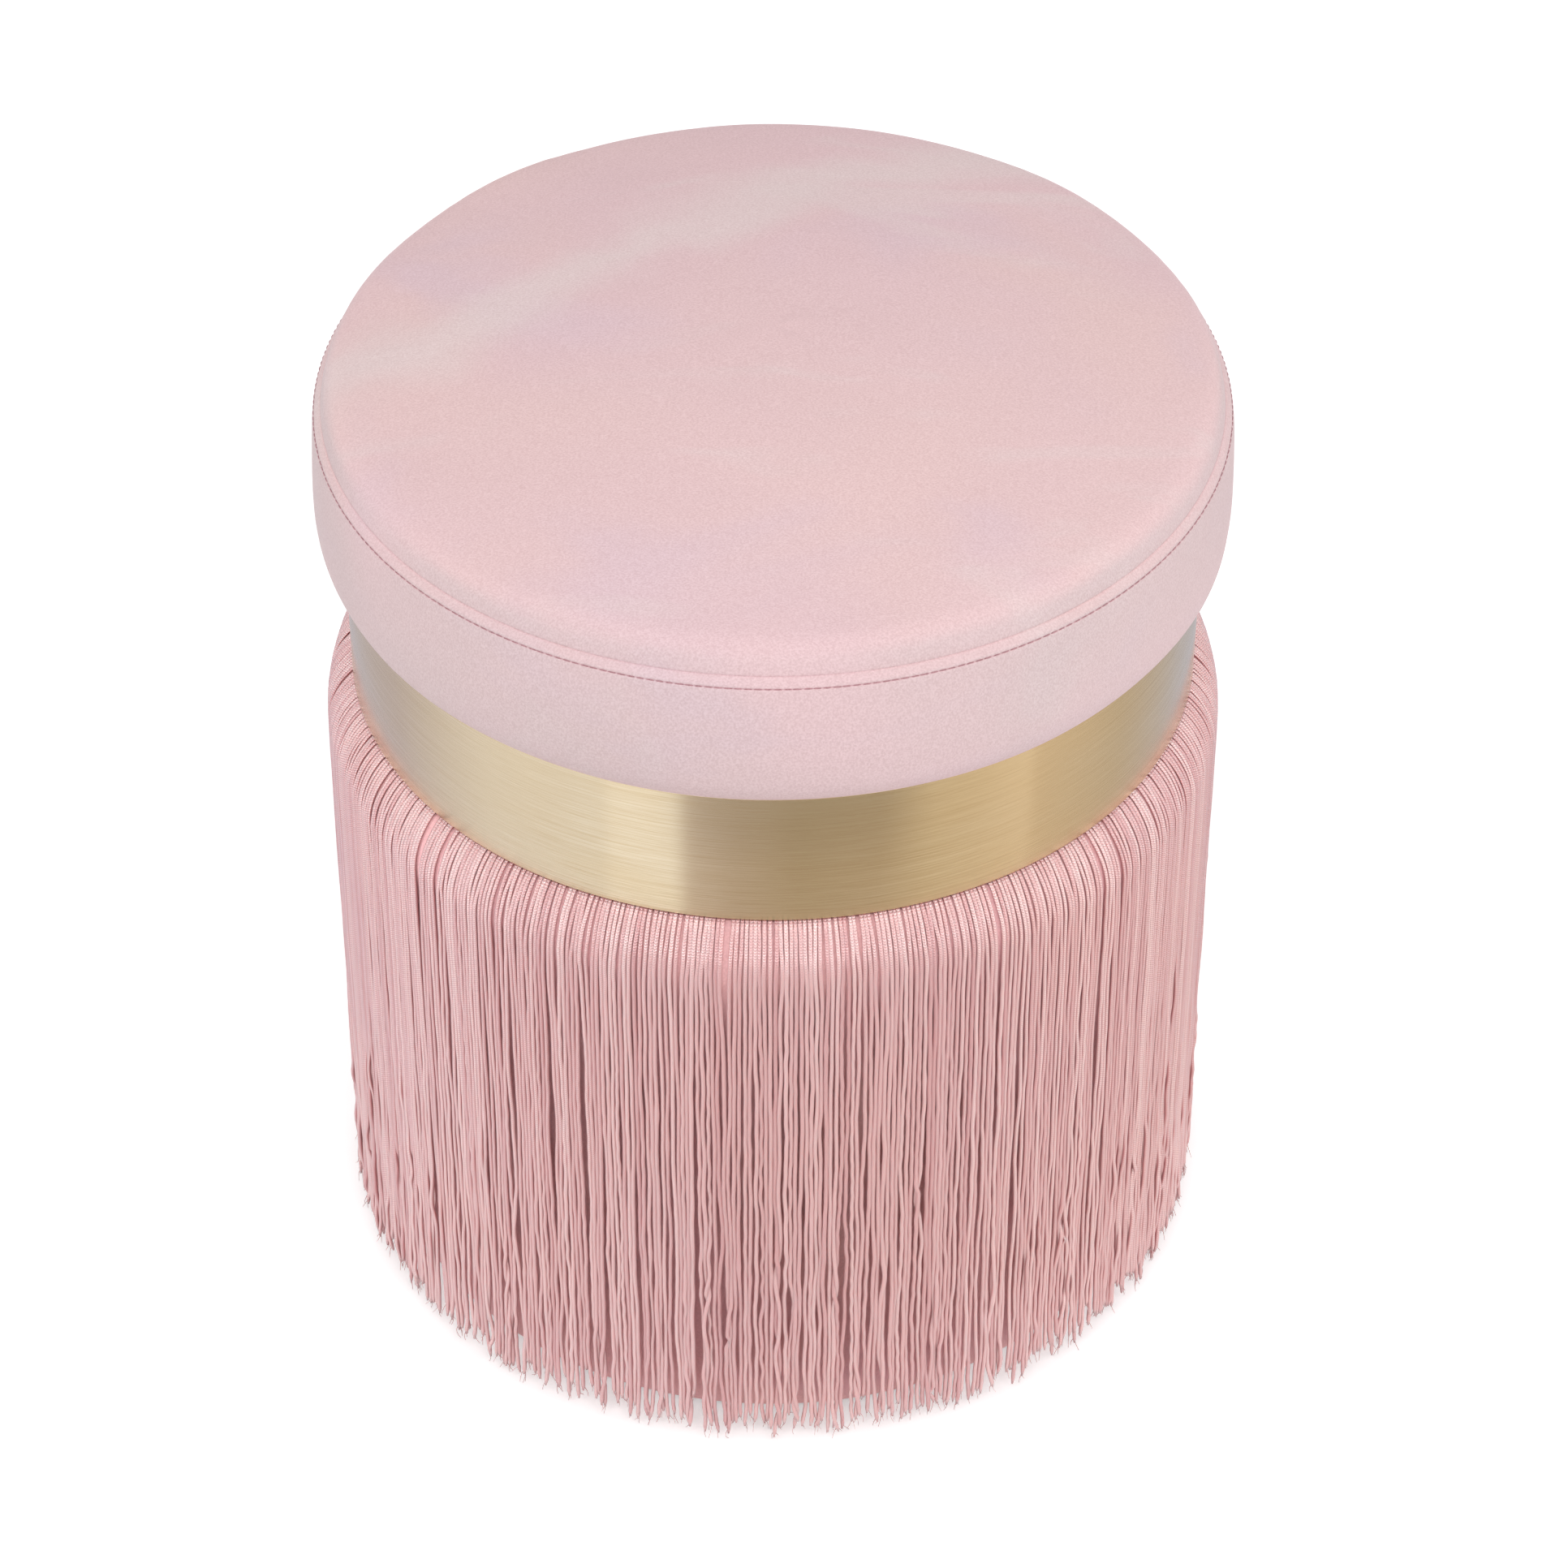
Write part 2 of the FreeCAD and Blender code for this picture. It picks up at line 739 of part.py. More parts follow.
def make_base():
    """Timber frame, shell, padding, velvet, dust cover and glides."""
    nail_holes = make_glide_nails("nail_holes", d.fastener_clearance)
    bolt_holes = make_bolt_holes("base_bolt_holes")
    screws = (post_circle, d.post_screw_offset, base_underside, base_top, d.post_screw_length)
    screw_holes = paired_screws("post_screw_holes", *screws, d.post_count, d.fastener_clearance)
    fringe_staples = upright_staples(
        "fringe_staples", outer_staple_circle, collar_base, -1, d.staple_count
    )
    top_staples = upright_staples(
        "base_cover_upper_staples", inner_staple_circle, heading_base, -1, d.staple_count
    )
    bottom_staples = upright_staples(
        "base_cover_lower_staples", inner_staple_circle, lower_hem_base, 1, d.staple_count
    )
    dust_staples = upright_staples(
        "dust_cover_staples", outer_staple_circle, dust_cover_base, 1, d.staple_count
    )
    shell_staples = inward_staples(
        "base_shell_staples",
        shell_radius,
        (base_underside + d.base_bottom_thickness / 2, base_top - d.base_top_thickness / 2),
        d.shell_staple_count,
    )

    access_radius = board_radius - d.base_bottom_width
    bottom = disc(
        "bottom", board_radius, base_underside, d.base_bottom_thickness, inner=access_radius
    )
    bottom_tools = (nail_holes, screw_holes, bottom_staples, dust_staples, shell_staples)
    node(cut("base_bottom_board", bottom, *bottom_tools))
    top = disc("top", board_radius, post_top, d.base_top_thickness)
    top_tools = (bolt_holes, screw_holes, top_staples, fringe_staples, shell_staples)
    node(cut("base_top_board", top, *top_tools))

    for index in range(d.post_count.value):
        angle = index * FULL_TURN / d.post_count.value
        post = wooden_block(
            "post",
            post_circle,
            d.post_width,
            d.post_width,
            post_base,
            d.base_height - d.base_top_thickness - d.base_bottom_thickness,
            angle,
        )
        node(cut("base_post_{}".format(index + 1), post, screw_holes))
    node(paired_screws("base_screws", *screws, d.post_count))

    shell_outline = [
        line_to(board_radius, base_underside),
        line_to(shell_radius, base_underside),
        line_to(shell_radius, base_top),
        line_to(board_radius, base_top),
    ]
    joint = FULL_TURN - d.shell_joint / shell_radius * math.degrees(1)
    shell = turn(turned_piece("shell", shell_outline, angle=joint), BACK)
    node(cut("base_shell", shell, shell_staples))
    node(shell_staples)

    wrap = d.base_cloth + d.soft_clearance
    padding_inner = shell_radius + d.soft_clearance
    padding = base_side_corners(wrap)
    padding_top = line_to(padding_inner, cord_level - (d.heading_thickness / 2 + wrap))
    padding_foot = line_to(padding_inner, lower_hem_base + wrap)
    node(turned_piece("base_padding", [padding_top] + padding + [padding_foot]))

    hem_inner = board_radius - d.base_hem_width
    outside = base_side_corners(as_size(0))
    inside = retrace(base_side_corners(d.base_cloth))
    cover_outline = (
        [line_to(hem_inner, heading_base)]
        + outside
        + [line_to(hem_inner, lower_hem_base), line_to(hem_inner, base_underside)]
        + inside
        + [line_to(hem_inner, base_top)]
    )
    cover = turned_piece("cover", cover_outline)
    cover_tools = (top_staples, bottom_staples, fringe_staples, dust_staples, nail_holes)
    node(cut("base_cover", cover, *cover_tools))
    node(top_staples)
    node(bottom_staples)

    dust_cover = disc("dust", board_radius, dust_cover_base, d.dust_cover_thickness)
    node(cut("dust_cover", dust_cover, dust_staples, nail_holes))
    node(dust_staples)
    for index in range(d.glide_count.value):
        node(make_glide(index))
    node(make_glide_nails("glide_nails"))

    heading = disc(
        "heading", heading_outer, heading_base, d.heading_thickness, inner=heading_outer - d.heading_width
    )
    heading_tools = (fringe_staples, bolt_holes)
    node(cut("fringe_heading", heading, *heading_tools))
    node(fringe_staples)
    node(make_fringe_cords())


def make_collar():
    """Two rings on four blocks, wrapped in the brass band, and what fastens them."""
    bolt_holes = make_bolt_holes("collar_bolt_holes")
    screws = (block_circle, d.block_screw_offset, collar_base, collar_top, d.block_screw_length)
    screw_holes = paired_screws("collar_screw_holes", *screws, d.block_count, d.fastener_clearance)
    turn(screw_holes, DIAGONAL)
    pin_holes = make_band_pins("pin_holes", d.fastener_clearance)
    for label, base in (("collar_lower_ring", collar_base), ("collar_upper_ring", block_top)):
        ring = disc("ring", d.collar_radius, base, d.ring_thickness, inner=ring_inner)
        node(cut(label, ring, bolt_holes, screw_holes, pin_holes))
    for index in range(d.block_count.value):
        angle = DIAGONAL + index * FULL_TURN / d.block_count.value
        height = d.collar_height - 2 * d.ring_thickness
        block = wooden_block(
            "block", block_circle, d.block_depth, d.block_width, block_base, height, angle
        )
        node(cut("collar_block_{}".format(index + 1), block, bolt_holes, screw_holes))
    node(turn(paired_screws("collar_screws", *screws, d.block_count), DIAGONAL))

    band_outline = [
        line_to(d.collar_radius, collar_base),
        line_to(band_radius, collar_base),
        line_to(band_radius, collar_top),
        line_to(d.collar_radius, collar_top),
    ]
    joint = FULL_TURN - d.band_joint / band_radius * math.degrees(1)
    band = turn(turned_piece("band", band_outline, angle=joint), BACK)
    node(cut("brass_band", band, pin_holes))
    node(make_band_pins("brass_band_pins"))
    node(make_bolts("seat_bolts"))


def make_seat():
    """Board, foam, batting, two-piece velvet cover and what fastens them."""
    bolt_holes = make_bolt_holes("seat_bolt_holes")
    nut_holes = make_tee_nuts("nut_holes", False, d.fastener_clearance)
    staples = upright_staples(
        "seat_cover_staples", seat_staple_circle, collar_top, 1, d.staple_count
    )
    board = disc("board", seat_board_radius, seat_board_base, d.seat_board_thickness)
    node(cut("seat_board", board, bolt_holes, nut_holes, staples))
    node(make_tee_nuts("seat_tee_nuts", True))
    node(staples)

    foam_height = d.crown_height - d.seat_cloth - d.batting_top
    foam_outline = [
        line_to(0, seat_board_top),
        line_to(foam_radius, seat_board_top),
        line_to(foam_radius, seam_level),
    ] + crown_corners(foam_radius, seam_level, foam_height, d.foam_edge)
    node(turned_piece("seat_foam", foam_outline))

    inset = d.seat_cloth + d.soft_clearance
    gap = d.soft_clearance
    outer_top = crown_corners(
        seam_radius - inset, seam_level, d.crown_height - inset, d.crown_edge - inset
    )
    inner_top = reversed_crown_corners(
        foam_radius + gap, seam_level, foam_height + gap, d.foam_edge + gap
    )
    side = retrace(seat_side_corners(inset))
    batting_outline = (
        [line_to(seat_board_radius + gap, collar_top + inset)]
        + side
        + outer_top
        + inner_top
        + [
            line_to(foam_radius + gap, seat_board_top - gap),
            line_to(seat_board_radius + gap, seat_board_top - gap),
        ]
    )
    node(turned_piece("seat_batting", batting_outline))

    cloth = d.seat_cloth
    outside = crown_corners(seam_radius, seam_level, d.crown_height, d.crown_edge)
    inside = reversed_crown_corners(
        seam_radius - cloth, seam_level, d.crown_height - cloth, d.crown_edge - cloth
    )
    node(turned_piece("seat_cover_top", [line_to(seam_radius, seam_level)] + outside + inside))

    hem_inner = seat_underside_radius - d.seat_hem_width
    band_outline = (
        seat_side_corners(as_size(0))
        + [line_to(hem_inner, collar_top), line_to(hem_inner, seat_board_base)]
        + retrace(seat_side_corners(cloth))
    )
    band = turned_piece("band", band_outline)
    groove = make_topstitch("stitch_groove", d.soft_clearance)
    node(cut("seat_cover_band", band, staples, groove))
    node(make_topstitch("seat_topstitch"))


def check_document():
    """Stop if any object failed or any piece is empty or unsound."""
    for thing in DOC.Objects:
        if "Invalid" in thing.State or "Error" in thing.State:
            raise RuntimeError("failed object: " + thing.Label)
    for piece in NODES:
        shape = piece.Shape
        if shape.isNull() or not shape.Solids or not shape.isValid():
            raise RuntimeError("unsound piece: " + piece.Label)


def write_pieces():
    """Write each piece to its own file and print what it holds."""
    os.makedirs("parts", exist_ok=True)
    for piece in NODES:
        piece.Shape.exportStep(os.path.join("parts", piece.Label + ".step"))
        box = piece.Shape.BoundBox
        print("{:28s} {:4d} solids  z {:7.2f} to {:7.2f}  {:12.1f} mm3".format(
            piece.Label, len(piece.Shape.Solids), box.ZMin, box.ZMax, piece.Shape.Volume
        ))
    print("pieces in files:", len(NODES))


make_base()
make_collar()
make_seat()
DOC.recompute()
check_document()
write_pieces()
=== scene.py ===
import json
import math

import bpy
import numpy as np
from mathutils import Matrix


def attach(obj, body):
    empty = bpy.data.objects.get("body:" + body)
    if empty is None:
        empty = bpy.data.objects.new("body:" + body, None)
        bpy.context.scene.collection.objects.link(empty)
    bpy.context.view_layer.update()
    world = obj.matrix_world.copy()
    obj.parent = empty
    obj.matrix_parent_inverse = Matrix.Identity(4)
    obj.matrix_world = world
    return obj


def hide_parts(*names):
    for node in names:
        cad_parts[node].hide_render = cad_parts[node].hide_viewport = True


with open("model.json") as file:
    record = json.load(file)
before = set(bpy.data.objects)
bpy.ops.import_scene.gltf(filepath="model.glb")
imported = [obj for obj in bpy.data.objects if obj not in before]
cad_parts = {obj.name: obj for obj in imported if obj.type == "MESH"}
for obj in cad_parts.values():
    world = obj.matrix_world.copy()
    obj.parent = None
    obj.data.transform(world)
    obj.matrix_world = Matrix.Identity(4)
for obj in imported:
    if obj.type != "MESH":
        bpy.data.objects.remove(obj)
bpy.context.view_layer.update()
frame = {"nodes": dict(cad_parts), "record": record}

scene = bpy.context.scene

MM = 0.001
TURN = 2 * math.pi
ROOT = "root"
SIN_45 = math.sqrt(0.5)
TINY = 1e-6

# Sizes of the CAD part that the new pieces follow, in millimetres
SEAM_RADIUS, SEAM_LEVEL = 174.4, 405.7
STITCH_RADIUS, STITCH_LEVEL = 177.5, 402.1
CROWN_HEIGHT, CROWN_EDGE = 29.9, 12.0
SIDE_RADIUS, SIDE_BOW = 179.2, 300.0
FOOT_EDGE = 16.0
SEAT_UNDERSIDE, SEAT_HEM = 341.8, 140.2
SEAT_CLOTH = 1.2
BAND_INNER, BAND_OUTER = 167.8, 168.8
BAND_BOTTOM, BAND_TOP = 281.8, 341.8
HEADING_INNER, HEADING_OUTER = 140.0, 165.0
HEADING_BASE, HEADING_TOP = 279.6, 281.8
CORD_LEVEL, CORD_RADIUS, CORD_COUNT = 280.7, 0.88, 560
SHOULDER_TIGHT, SHOULDER_WIDE = 6.735, 32.57
FOOT_RADIUS, FOOT_LEVEL, FOOT_ROUND = 164.9, 5.6, 4.0
BASE_HEM = 127.0
DUST_RADIUS, DUST_BASE, DUST_TOP = 155.0, 5.0, 5.6

# How the seat's velvet is made
SEAT_SEGMENTS = 720
SWELL_SEGMENTS, TOP_ROWS, SIDE_ROWS = 96, 26, 20
SWELL_FRAMES, SWELL_WAVES = 20, 13
SWELL_SHARE, SWELL_LIMIT = 0.6, 0.6
STITCH_COUNT = 310

# How the fringe is made
SECTORS, CORD_SIDES, FIBRE_SIDES = 12, 8, 4
RINGS_DOWN = 84
CLOSEST = 1.56
DEPTH_RANGE = (-0.10, 1.5)

# Light on things, glow that only the eye and mirrors see, and the floor's own tone
WORLD_LIGHT, FLOOR_GLOW, FLOOR_TONE = 0.50, 0.42, 0.80


# Outlines

def arc(across, level, radius, start, end, steps):
    """Points of an arc about a centre, from one angle in degrees to another."""
    angle = np.radians(np.linspace(start, end, steps))
    return np.column_stack([across + radius * np.cos(angle), level + radius * np.sin(angle)])


def arc_between(start, end, radius, side, steps):
    """Points of the arc of a radius from start to end: side is 1 if its centre is on the left."""
    start = np.array(start, float)
    end = np.array(end, float)
    chord = end - start
    length = np.hypot(*chord)
    left = np.array([-chord[1], chord[0]]) / length
    centre = (start + end) / 2 + left * side * math.sqrt(radius ** 2 - length ** 2 / 4)
    first = math.degrees(math.atan2(*(start - centre)[::-1]))
    last = math.degrees(math.atan2(*(end - centre)[::-1]))
    last = first + side * ((last - first) * side % 360)
    return arc(centre[0], centre[1], radius, first, last, steps)


def chain(*parts):
    """Join runs of points and drop the repeated ones."""
    points = np.vstack([np.atleast_2d(np.array(part, float)) for part in parts])
    keep = np.ones(len(points), bool)
    keep[1:] = np.hypot(*np.diff(points, axis=0).T) > TINY
    return points[keep]


def along(points):
    """Distance of each point along its outline."""
    return np.concatenate([[0], np.cumsum(np.hypot(*np.diff(points, axis=0).T))])


def resampled(points, stations):
    """The outline at given distances along it."""
    run = along(points)
    return np.column_stack([np.interp(stations, run, points[:, k]) for k in range(2)])


def softened(points, sigma, step=0.5):
    """The outline with its changes of curvature eased, its two ends kept."""
    run = along(points)
    count = int(run[-1] / step) + 1
    even = resampled(points, np.linspace(0, run[-1], count))
    reach = int(4 * sigma / step)
    weight = np.exp(-0.5 * (np.arange(-reach, reach + 1) * step / sigma) ** 2)
    weight /= weight.sum()
    before = 2 * even[0] - even[reach:0:-1]
    after = 2 * even[-1] - even[-2:-reach - 2:-1]
    padded = np.vstack([before, even, after])
    return np.column_stack([np.convolve(padded[:, k], weight, "valid") for k in range(2)])


def hump(distance, width):
    """1 in the middle, falling off smoothly to both sides."""
    return np.exp(-(distance / width) ** 2)


def eased(share):
    """0 to 1 with a gentle start and end."""
    share = np.clip(share, 0, 1)
    return share * share * (3 - 2 * share)


def angles(segments):
    """Directions of the columns of a turned mesh."""
    return np.arange(segments) * TURN / segments


def normals_of(points):
    """Unit normals to the left of an outline's direction of travel."""
    slope = np.gradient(points, axis=0)
    length = np.maximum(np.hypot(*slope.T), TINY)
    return np.column_stack([-slope[:, 1], slope[:, 0]]) / length[:, None]


# Meshes

def new_object(name, data):
    """An object in the scene."""
    made = bpy.data.objects.new(name, data)
    scene.collection.objects.link(made)
    return made


def new_mesh(name, points, faces):
    """A mesh of points in metres and faces."""
    mesh = bpy.data.meshes.new(name)
    mesh.from_pydata(points, [], faces)
    return mesh


def piece_from(name, points, faces, material):
    """A mesh object that rides on the part."""
    mesh = new_mesh(name, points.tolist(), faces)
    mesh.validate()
    mesh.polygons.foreach_set("use_smooth", [True] * len(mesh.polygons))
    mesh.materials.append(material)
    mesh.update()
    made = new_object(name, mesh)
    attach(made, ROOT)
    return made


def swept_ring(outline, segments, push=None, normals=None, start=0.0, sweep=TURN):
    """Points and faces of an outline turned about Z. A radius of 0 closes at a pole.

    push moves each point along its normal, in millimetres: rows follow the outline.
    """
    whole = sweep > TURN - TINY
    columns = segments if whole else segments + 1
    angle = start + np.arange(columns) * sweep / segments
    radius = np.repeat(outline[:, :1], columns, 1)
    level = np.repeat(outline[:, 1:], columns, 1)
    if push is not None:
        radius = radius + push * normals[:, :1]
        level = level + push * normals[:, 1:]
    points = []
    index = []
    total = 0
    for row in range(len(outline)):
        if outline[row, 0] < TINY:
            points.append([[0.0, 0.0, level[row].mean()]])
            index.append(np.full(columns, total))
            total += 1
        else:
            points.append(np.column_stack([
                radius[row] * np.sin(angle), -radius[row] * np.cos(angle), level[row]
            ]))
            index.append(total + np.arange(columns))
            total += columns
    row_of = np.repeat(np.arange(len(outline)), [len(np.unique(ring)) for ring in index])
    faces = []
    pole_ends = outline[0, 0] < TINY and outline[-1, 0] < TINY
    rows = len(outline) - 1 if pole_ends else len(outline)
    for row in range(rows):
        here = index[row]
        below = index[(row + 1) % len(outline)]
        for column in range(segments):
            after = (column + 1) % columns
            corners = [here[column], below[column], below[after], here[after]]
            if corners[0] == corners[3]:
                corners = corners[:3]
            elif corners[1] == corners[2]:
                corners = [corners[0], corners[1], corners[3]]
            faces.append([int(c) for c in corners])
    if not whole:
        faces.append([int(ring[0]) for ring in index][::-1])
        faces.append([int(ring[-1]) for ring in index])
    return np.vstack(points) * MM, faces, row_of


def with_lining(outline, normals, push, inner):
    """A cloth: its outer face, pushed along its normals, and its plain inner face."""
    rows = np.vstack([push, np.zeros((len(inner), push.shape[1]))])
    directions = np.vstack([normals, np.zeros_like(inner)])
    return swept_ring(np.vstack([outline, inner]), push.shape[1], rows, directions)


def mark(thing, name, values):
    """A number at each point of a piece, for its material to read."""
    thing.data.attributes.new(name, "FLOAT", "POINT").data.foreach_set(
        "value", np.asarray(values, np.float32)
    )


def ripples(angle, distance, seed, count, turns, pitch):
    """Smooth uneven waves round the part and along an outline, of about unit size."""
    random = np.random.default_rng(seed)
    total = np.zeros(np.broadcast(angle, distance).shape)
    for _ in range(count):
        around = random.integers(turns[0], turns[1] + 1)
        across = TURN / random.uniform(*pitch) * random.choice([-1, 1])
        phase = random.uniform(0, TURN)
        total = total + np.cos(around * angle + across * distance + phase)
    return total / math.sqrt(count)


# Shading

def feed(socket, value):
    """Give a socket a plain value, or link another node's output to it."""
    if isinstance(value, bpy.types.NodeSocket):
        socket.id_data.links.new(value, socket)
    else:
        socket.default_value = value


def add(tree, kind, inputs=(), **settings):
    """A shader node with its settings and its inputs, each a value or another's output."""
    made = tree.nodes.new("ShaderNode" + kind)
    for name, value in settings.items():
        setattr(made, name, value)
    for key, value in dict(inputs).items():
        feed(made.inputs[key], value)
    return made


def after(inputs, kind, **settings):
    """A shader node in the tree of the first socket among its inputs."""
    sockets = (value for value in inputs.values() if isinstance(value, bpy.types.NodeSocket))
    return add(next(sockets).id_data, kind, inputs, **settings)


def new_material(name):
    """A material, its nodes and its shader."""
    material = bpy.data.materials.new(name)
    material.use_nodes = True
    tree = material.node_tree
    return material, tree, tree.nodes["Principled BSDF"]


def bare_material(name):
    """A material without a shader yet."""
    material, tree, _ = new_material(name)
    tree.nodes.clear()
    return material, tree


def finish_with(surface):
    """Link a shader to the material's output."""
    after({"Surface": surface.outputs[0]}, "OutputMaterial")


def finished(shader, colour, normal, **values):
    """Give a shader its colour, its normal and plain values on its own sockets."""
    feed(shader.inputs["Base Color"], colour)
    feed(shader.inputs["Normal"], normal)
    for name, value in values.items():
        name = name.replace("_", " ")
        shader.inputs[name].default_value = value


def place(tree):
    """Where a point is on the piece, in metres."""
    return add(tree, "TexCoord").outputs["Object"]


def stretched(vector, scale, turn=(0, 0, 0)):
    """Coordinates scaled and turned."""
    return after({"Vector": vector, "Scale": scale, "Rotation": turn}, "Mapping").outputs[0]


def noise(vector, scale, detail=3.0, roughness=0.5, distortion=0.0):
    """Cloudy noise from 0 to 1."""
    return after({
        "Vector": vector, "Scale": scale, "Detail": detail, "Roughness": roughness,
        "Distortion": distortion,
    }, "TexNoise").outputs["Fac"]


def sums(operation, first, second=0.0, third=0.0):
    """One step of arithmetic."""
    return after({0: first, 1: second, 2: third}, "Math", operation=operation).outputs[0]


def spread(value, low, high, to_low=0.0, to_high=1.0, smooth=True):
    """Map a range to another, clamped."""
    return after(
        {"Value": value, "From Min": low, "From Max": high, "To Min": to_low, "To Max": to_high},
        "MapRange", interpolation_type="SMOOTHSTEP" if smooth else "LINEAR",
    ).outputs[0]


def mixed(factor, first, second, way="MIX"):
    """One colour laid over another."""
    made = after({0: factor}, "Mix", data_type="RGBA", blend_type=way)
    feed(made.inputs[6], first)
    feed(made.inputs[7], second)
    return made.outputs[2]


def bumped(height, strength, distance, under=None):
    """A normal tilted by a height, over another normal if there is one."""
    inputs = {"Height": height, "Strength": strength, "Distance": distance}
    if under is not None:
        inputs["Normal"] = under
    return after(inputs, "Bump").outputs[0]


def seen_directly(tree):
    """1 for rays from the eye, from a mirror or through glass, 0 for those that light things."""
    path = add(tree, "LightPath")
    seen = sums("MAXIMUM", path.outputs["Is Camera Ray"], path.outputs["Is Glossy Ray"])
    return sums("MAXIMUM", seen, path.outputs["Is Transmission Ray"])


def tone(red, green, blue):
    """A colour as seen on screen, turned to the linear values that a shader takes."""
    parts = []
    for part in (red, green, blue):
        part /= 255
        parts.append(part / 12.92 if part <= 0.04045 else ((part + 0.055) / 1.055) ** 2.4)
    return (*parts, 1.0)


def velvet_material(name, rose, pale, peach, cool, streak):
    """Short-pile velvet: brushed nap in soft patches, a fine pile and a sheen at the rim.

    streak adds the pale band across the top, and painted sheen: the greyer tone of upright cloth,
    set by which way it faces.
    """
    material, tree, shader = new_material(name)
    where = place(tree)
    cloud = noise(where, 5.5, 2.0, 0.5, 0.6)
    colour = mixed(spread(cloud, 0.40, 0.66), rose, peach)
    lilac = noise(stretched(where, (1.0, 1.3, 2.2), (0, 0, 0.6)), 8.0, 2.5, 0.55, 0.4)
    colour = mixed(spread(lilac, 0.50, 0.72, 0.0, 0.8), colour, cool)
    brushed = noise(stretched(where, (0.7, 2.0, 1.2), (0, 0, -0.5)), 13.0, 3.0, 0.5, 0.8)
    colour = mixed(spread(brushed, 0.54, 0.74, 0.0, 0.55), colour, pale)
    if streak:
        colour = streaked(where, colour, pale)
        # Painted sheen: cloth that faces sideways is made greyer in patches, by its normal
        normal = add(tree, "SeparateXYZ", {"Vector": add(tree, "NewGeometry").outputs["Normal"]})
        facing = sums("ABSOLUTE", normal.outputs[2])
        upright = spread(facing, 0.35, 0.85, 1.0, 0.0)
        upright = sums("MULTIPLY", upright, spread(cloud, 0.36, 0.62, 0.15, 0.75))
        colour = mixed(upright, colour, tone(208, 192, 193))

    # Fine pile, and painted shade: cloth darkened by a point attribute along the seam crease, in the
    # stitch groove and on the hidden inner face
    pile_size, pile_shadow, crease_shadow = 1100.0, (0.70, 0.60, 0.60, 1.0), (0.66, 0.42, 0.46, 1.0)
    pile = noise(stretched(where, (1.0, 1.7, 1.0), (0, 0, 0.8)), pile_size, 3.0, 0.65)
    shaded = spread(pile, 0.34, 0.66, 0.42, 0.0)
    colour = mixed(shaded, colour, pile_shadow, "MULTIPLY")
    # Painted shade: this attribute darkens creases, grooves and the inner face
    painted_crease_shade = add(tree, "Attribute", attribute_name="painted_crease_shade").outputs["Fac"]
    colour = mixed(painted_crease_shade, colour, crease_shadow, "MULTIPLY")
    grain = bumped(pile, strength=0.35, distance=0.0004)
    soft = noise(where, 210.0, 3.0, 0.55)
    finished(
        shader, colour, bumped(soft, 0.12, 0.0006, grain),
        Roughness=0.92, Specular_IOR_Level=0.12,
        Sheen_Weight=0.30, Sheen_Roughness=0.35, Sheen_Tint=(1.0, 0.86, 0.88, 1.0),
    )
    return material


def streaked(where, colour, pale):
    """A pale band of brushed nap, slanting across the back of the top."""
    slope, offset, half_width, wandering = 0.62, 0.088, 0.034, 0.09
    split = after({"Vector": where}, "SeparateXYZ")
    wander = noise(where, 14.0, 2.0, 0.5, 0.3)
    slant = sums("MULTIPLY", split.outputs[0], slope)
    line = sums("SUBTRACT", sums("SUBTRACT", split.outputs[1], slant), offset)
    uneven = sums("MULTIPLY", sums("SUBTRACT", wander, 0.5), wandering)
    line = sums("ADD", line, uneven)
    band = spread(sums("ABSOLUTE", line), 0.0, half_width, 0.75, 0.0)
    return mixed(band, colour, pale)


def yarn_material():
    """Shiny twisted yarn: chain stitches along each cord, small differences between cords, and
    painted shade in the stitch hollows and between neighbouring cords.
    """
    stitch, slant = 1.1, 1.6
    material, tree, shader = new_material("fringe_yarn")
    shade = add(tree, "Attribute", attribute_name="tone").outputs["Fac"]
    flat = add(tree, "UVMap", uv_map="cord").outputs[0]
    split = after({"Vector": flat}, "SeparateXYZ")
    around, run = split.outputs[0], split.outputs[1]
    vee = sums("ABSOLUTE", sums("SUBTRACT", sums("MULTIPLY", around, 2.0), 1.0))
    turns = sums("ADD", sums("DIVIDE", run, stitch), sums("MULTIPLY", vee, slant))
    wave = sums("SINE", sums("MULTIPLY", turns, TURN))
    height = spread(wave, -1.0, 1.0)
    base = mixed(shade, tone(214, 158, 160), tone(246, 206, 205))
    where = place(tree)
    faded = noise(where, 9.0, 2.0, 0.5)
    base = mixed(spread(faded, 0.35, 0.7, 0.0, 0.35), base, tone(240, 190, 184))
    # Painted shade in the hollows of the chain stitches: darker where the stitch height is low
    base = mixed(spread(height, 0.0, 0.45, 0.55, 0.0), base, tone(200, 130, 132))
    # Painted shade between cords: the sides and back of each cord, towards its neighbours, made
    # darker
    base = mixed(spread(vee, 0.30, 0.56, 0.0, 0.75), base, tone(196, 118, 120))
    fibres = noise(stretched(where, (1.0, 1.0, 0.25)), 2600.0, 2.0, 0.6)
    fuzzy = bumped(fibres, strength=0.25, distance=0.0002)
    finished(
        shader, base, bumped(height, 0.5, 0.0004, fuzzy),
        Roughness=0.27, IOR=1.75, Metallic=0.12, Specular_IOR_Level=1.0,
        Subsurface_Weight=0.4, Subsurface_Radius=(1.0, 0.55, 0.5), Subsurface_Scale=0.0016,
        Sheen_Weight=0.25, Sheen_Roughness=0.45, Sheen_Tint=(1.0, 0.9, 0.9, 1.0),
    )
    return material


def bearing(tree):
    """Direction of a point from the axis, in radians from the front."""
    split = add(tree, "SeparateXYZ", {"Vector": place(tree)})
    back = sums("MULTIPLY", split.outputs[1], -1.0)
    return sums("ARCTAN2", split.outputs[0], back), split.outputs[2]


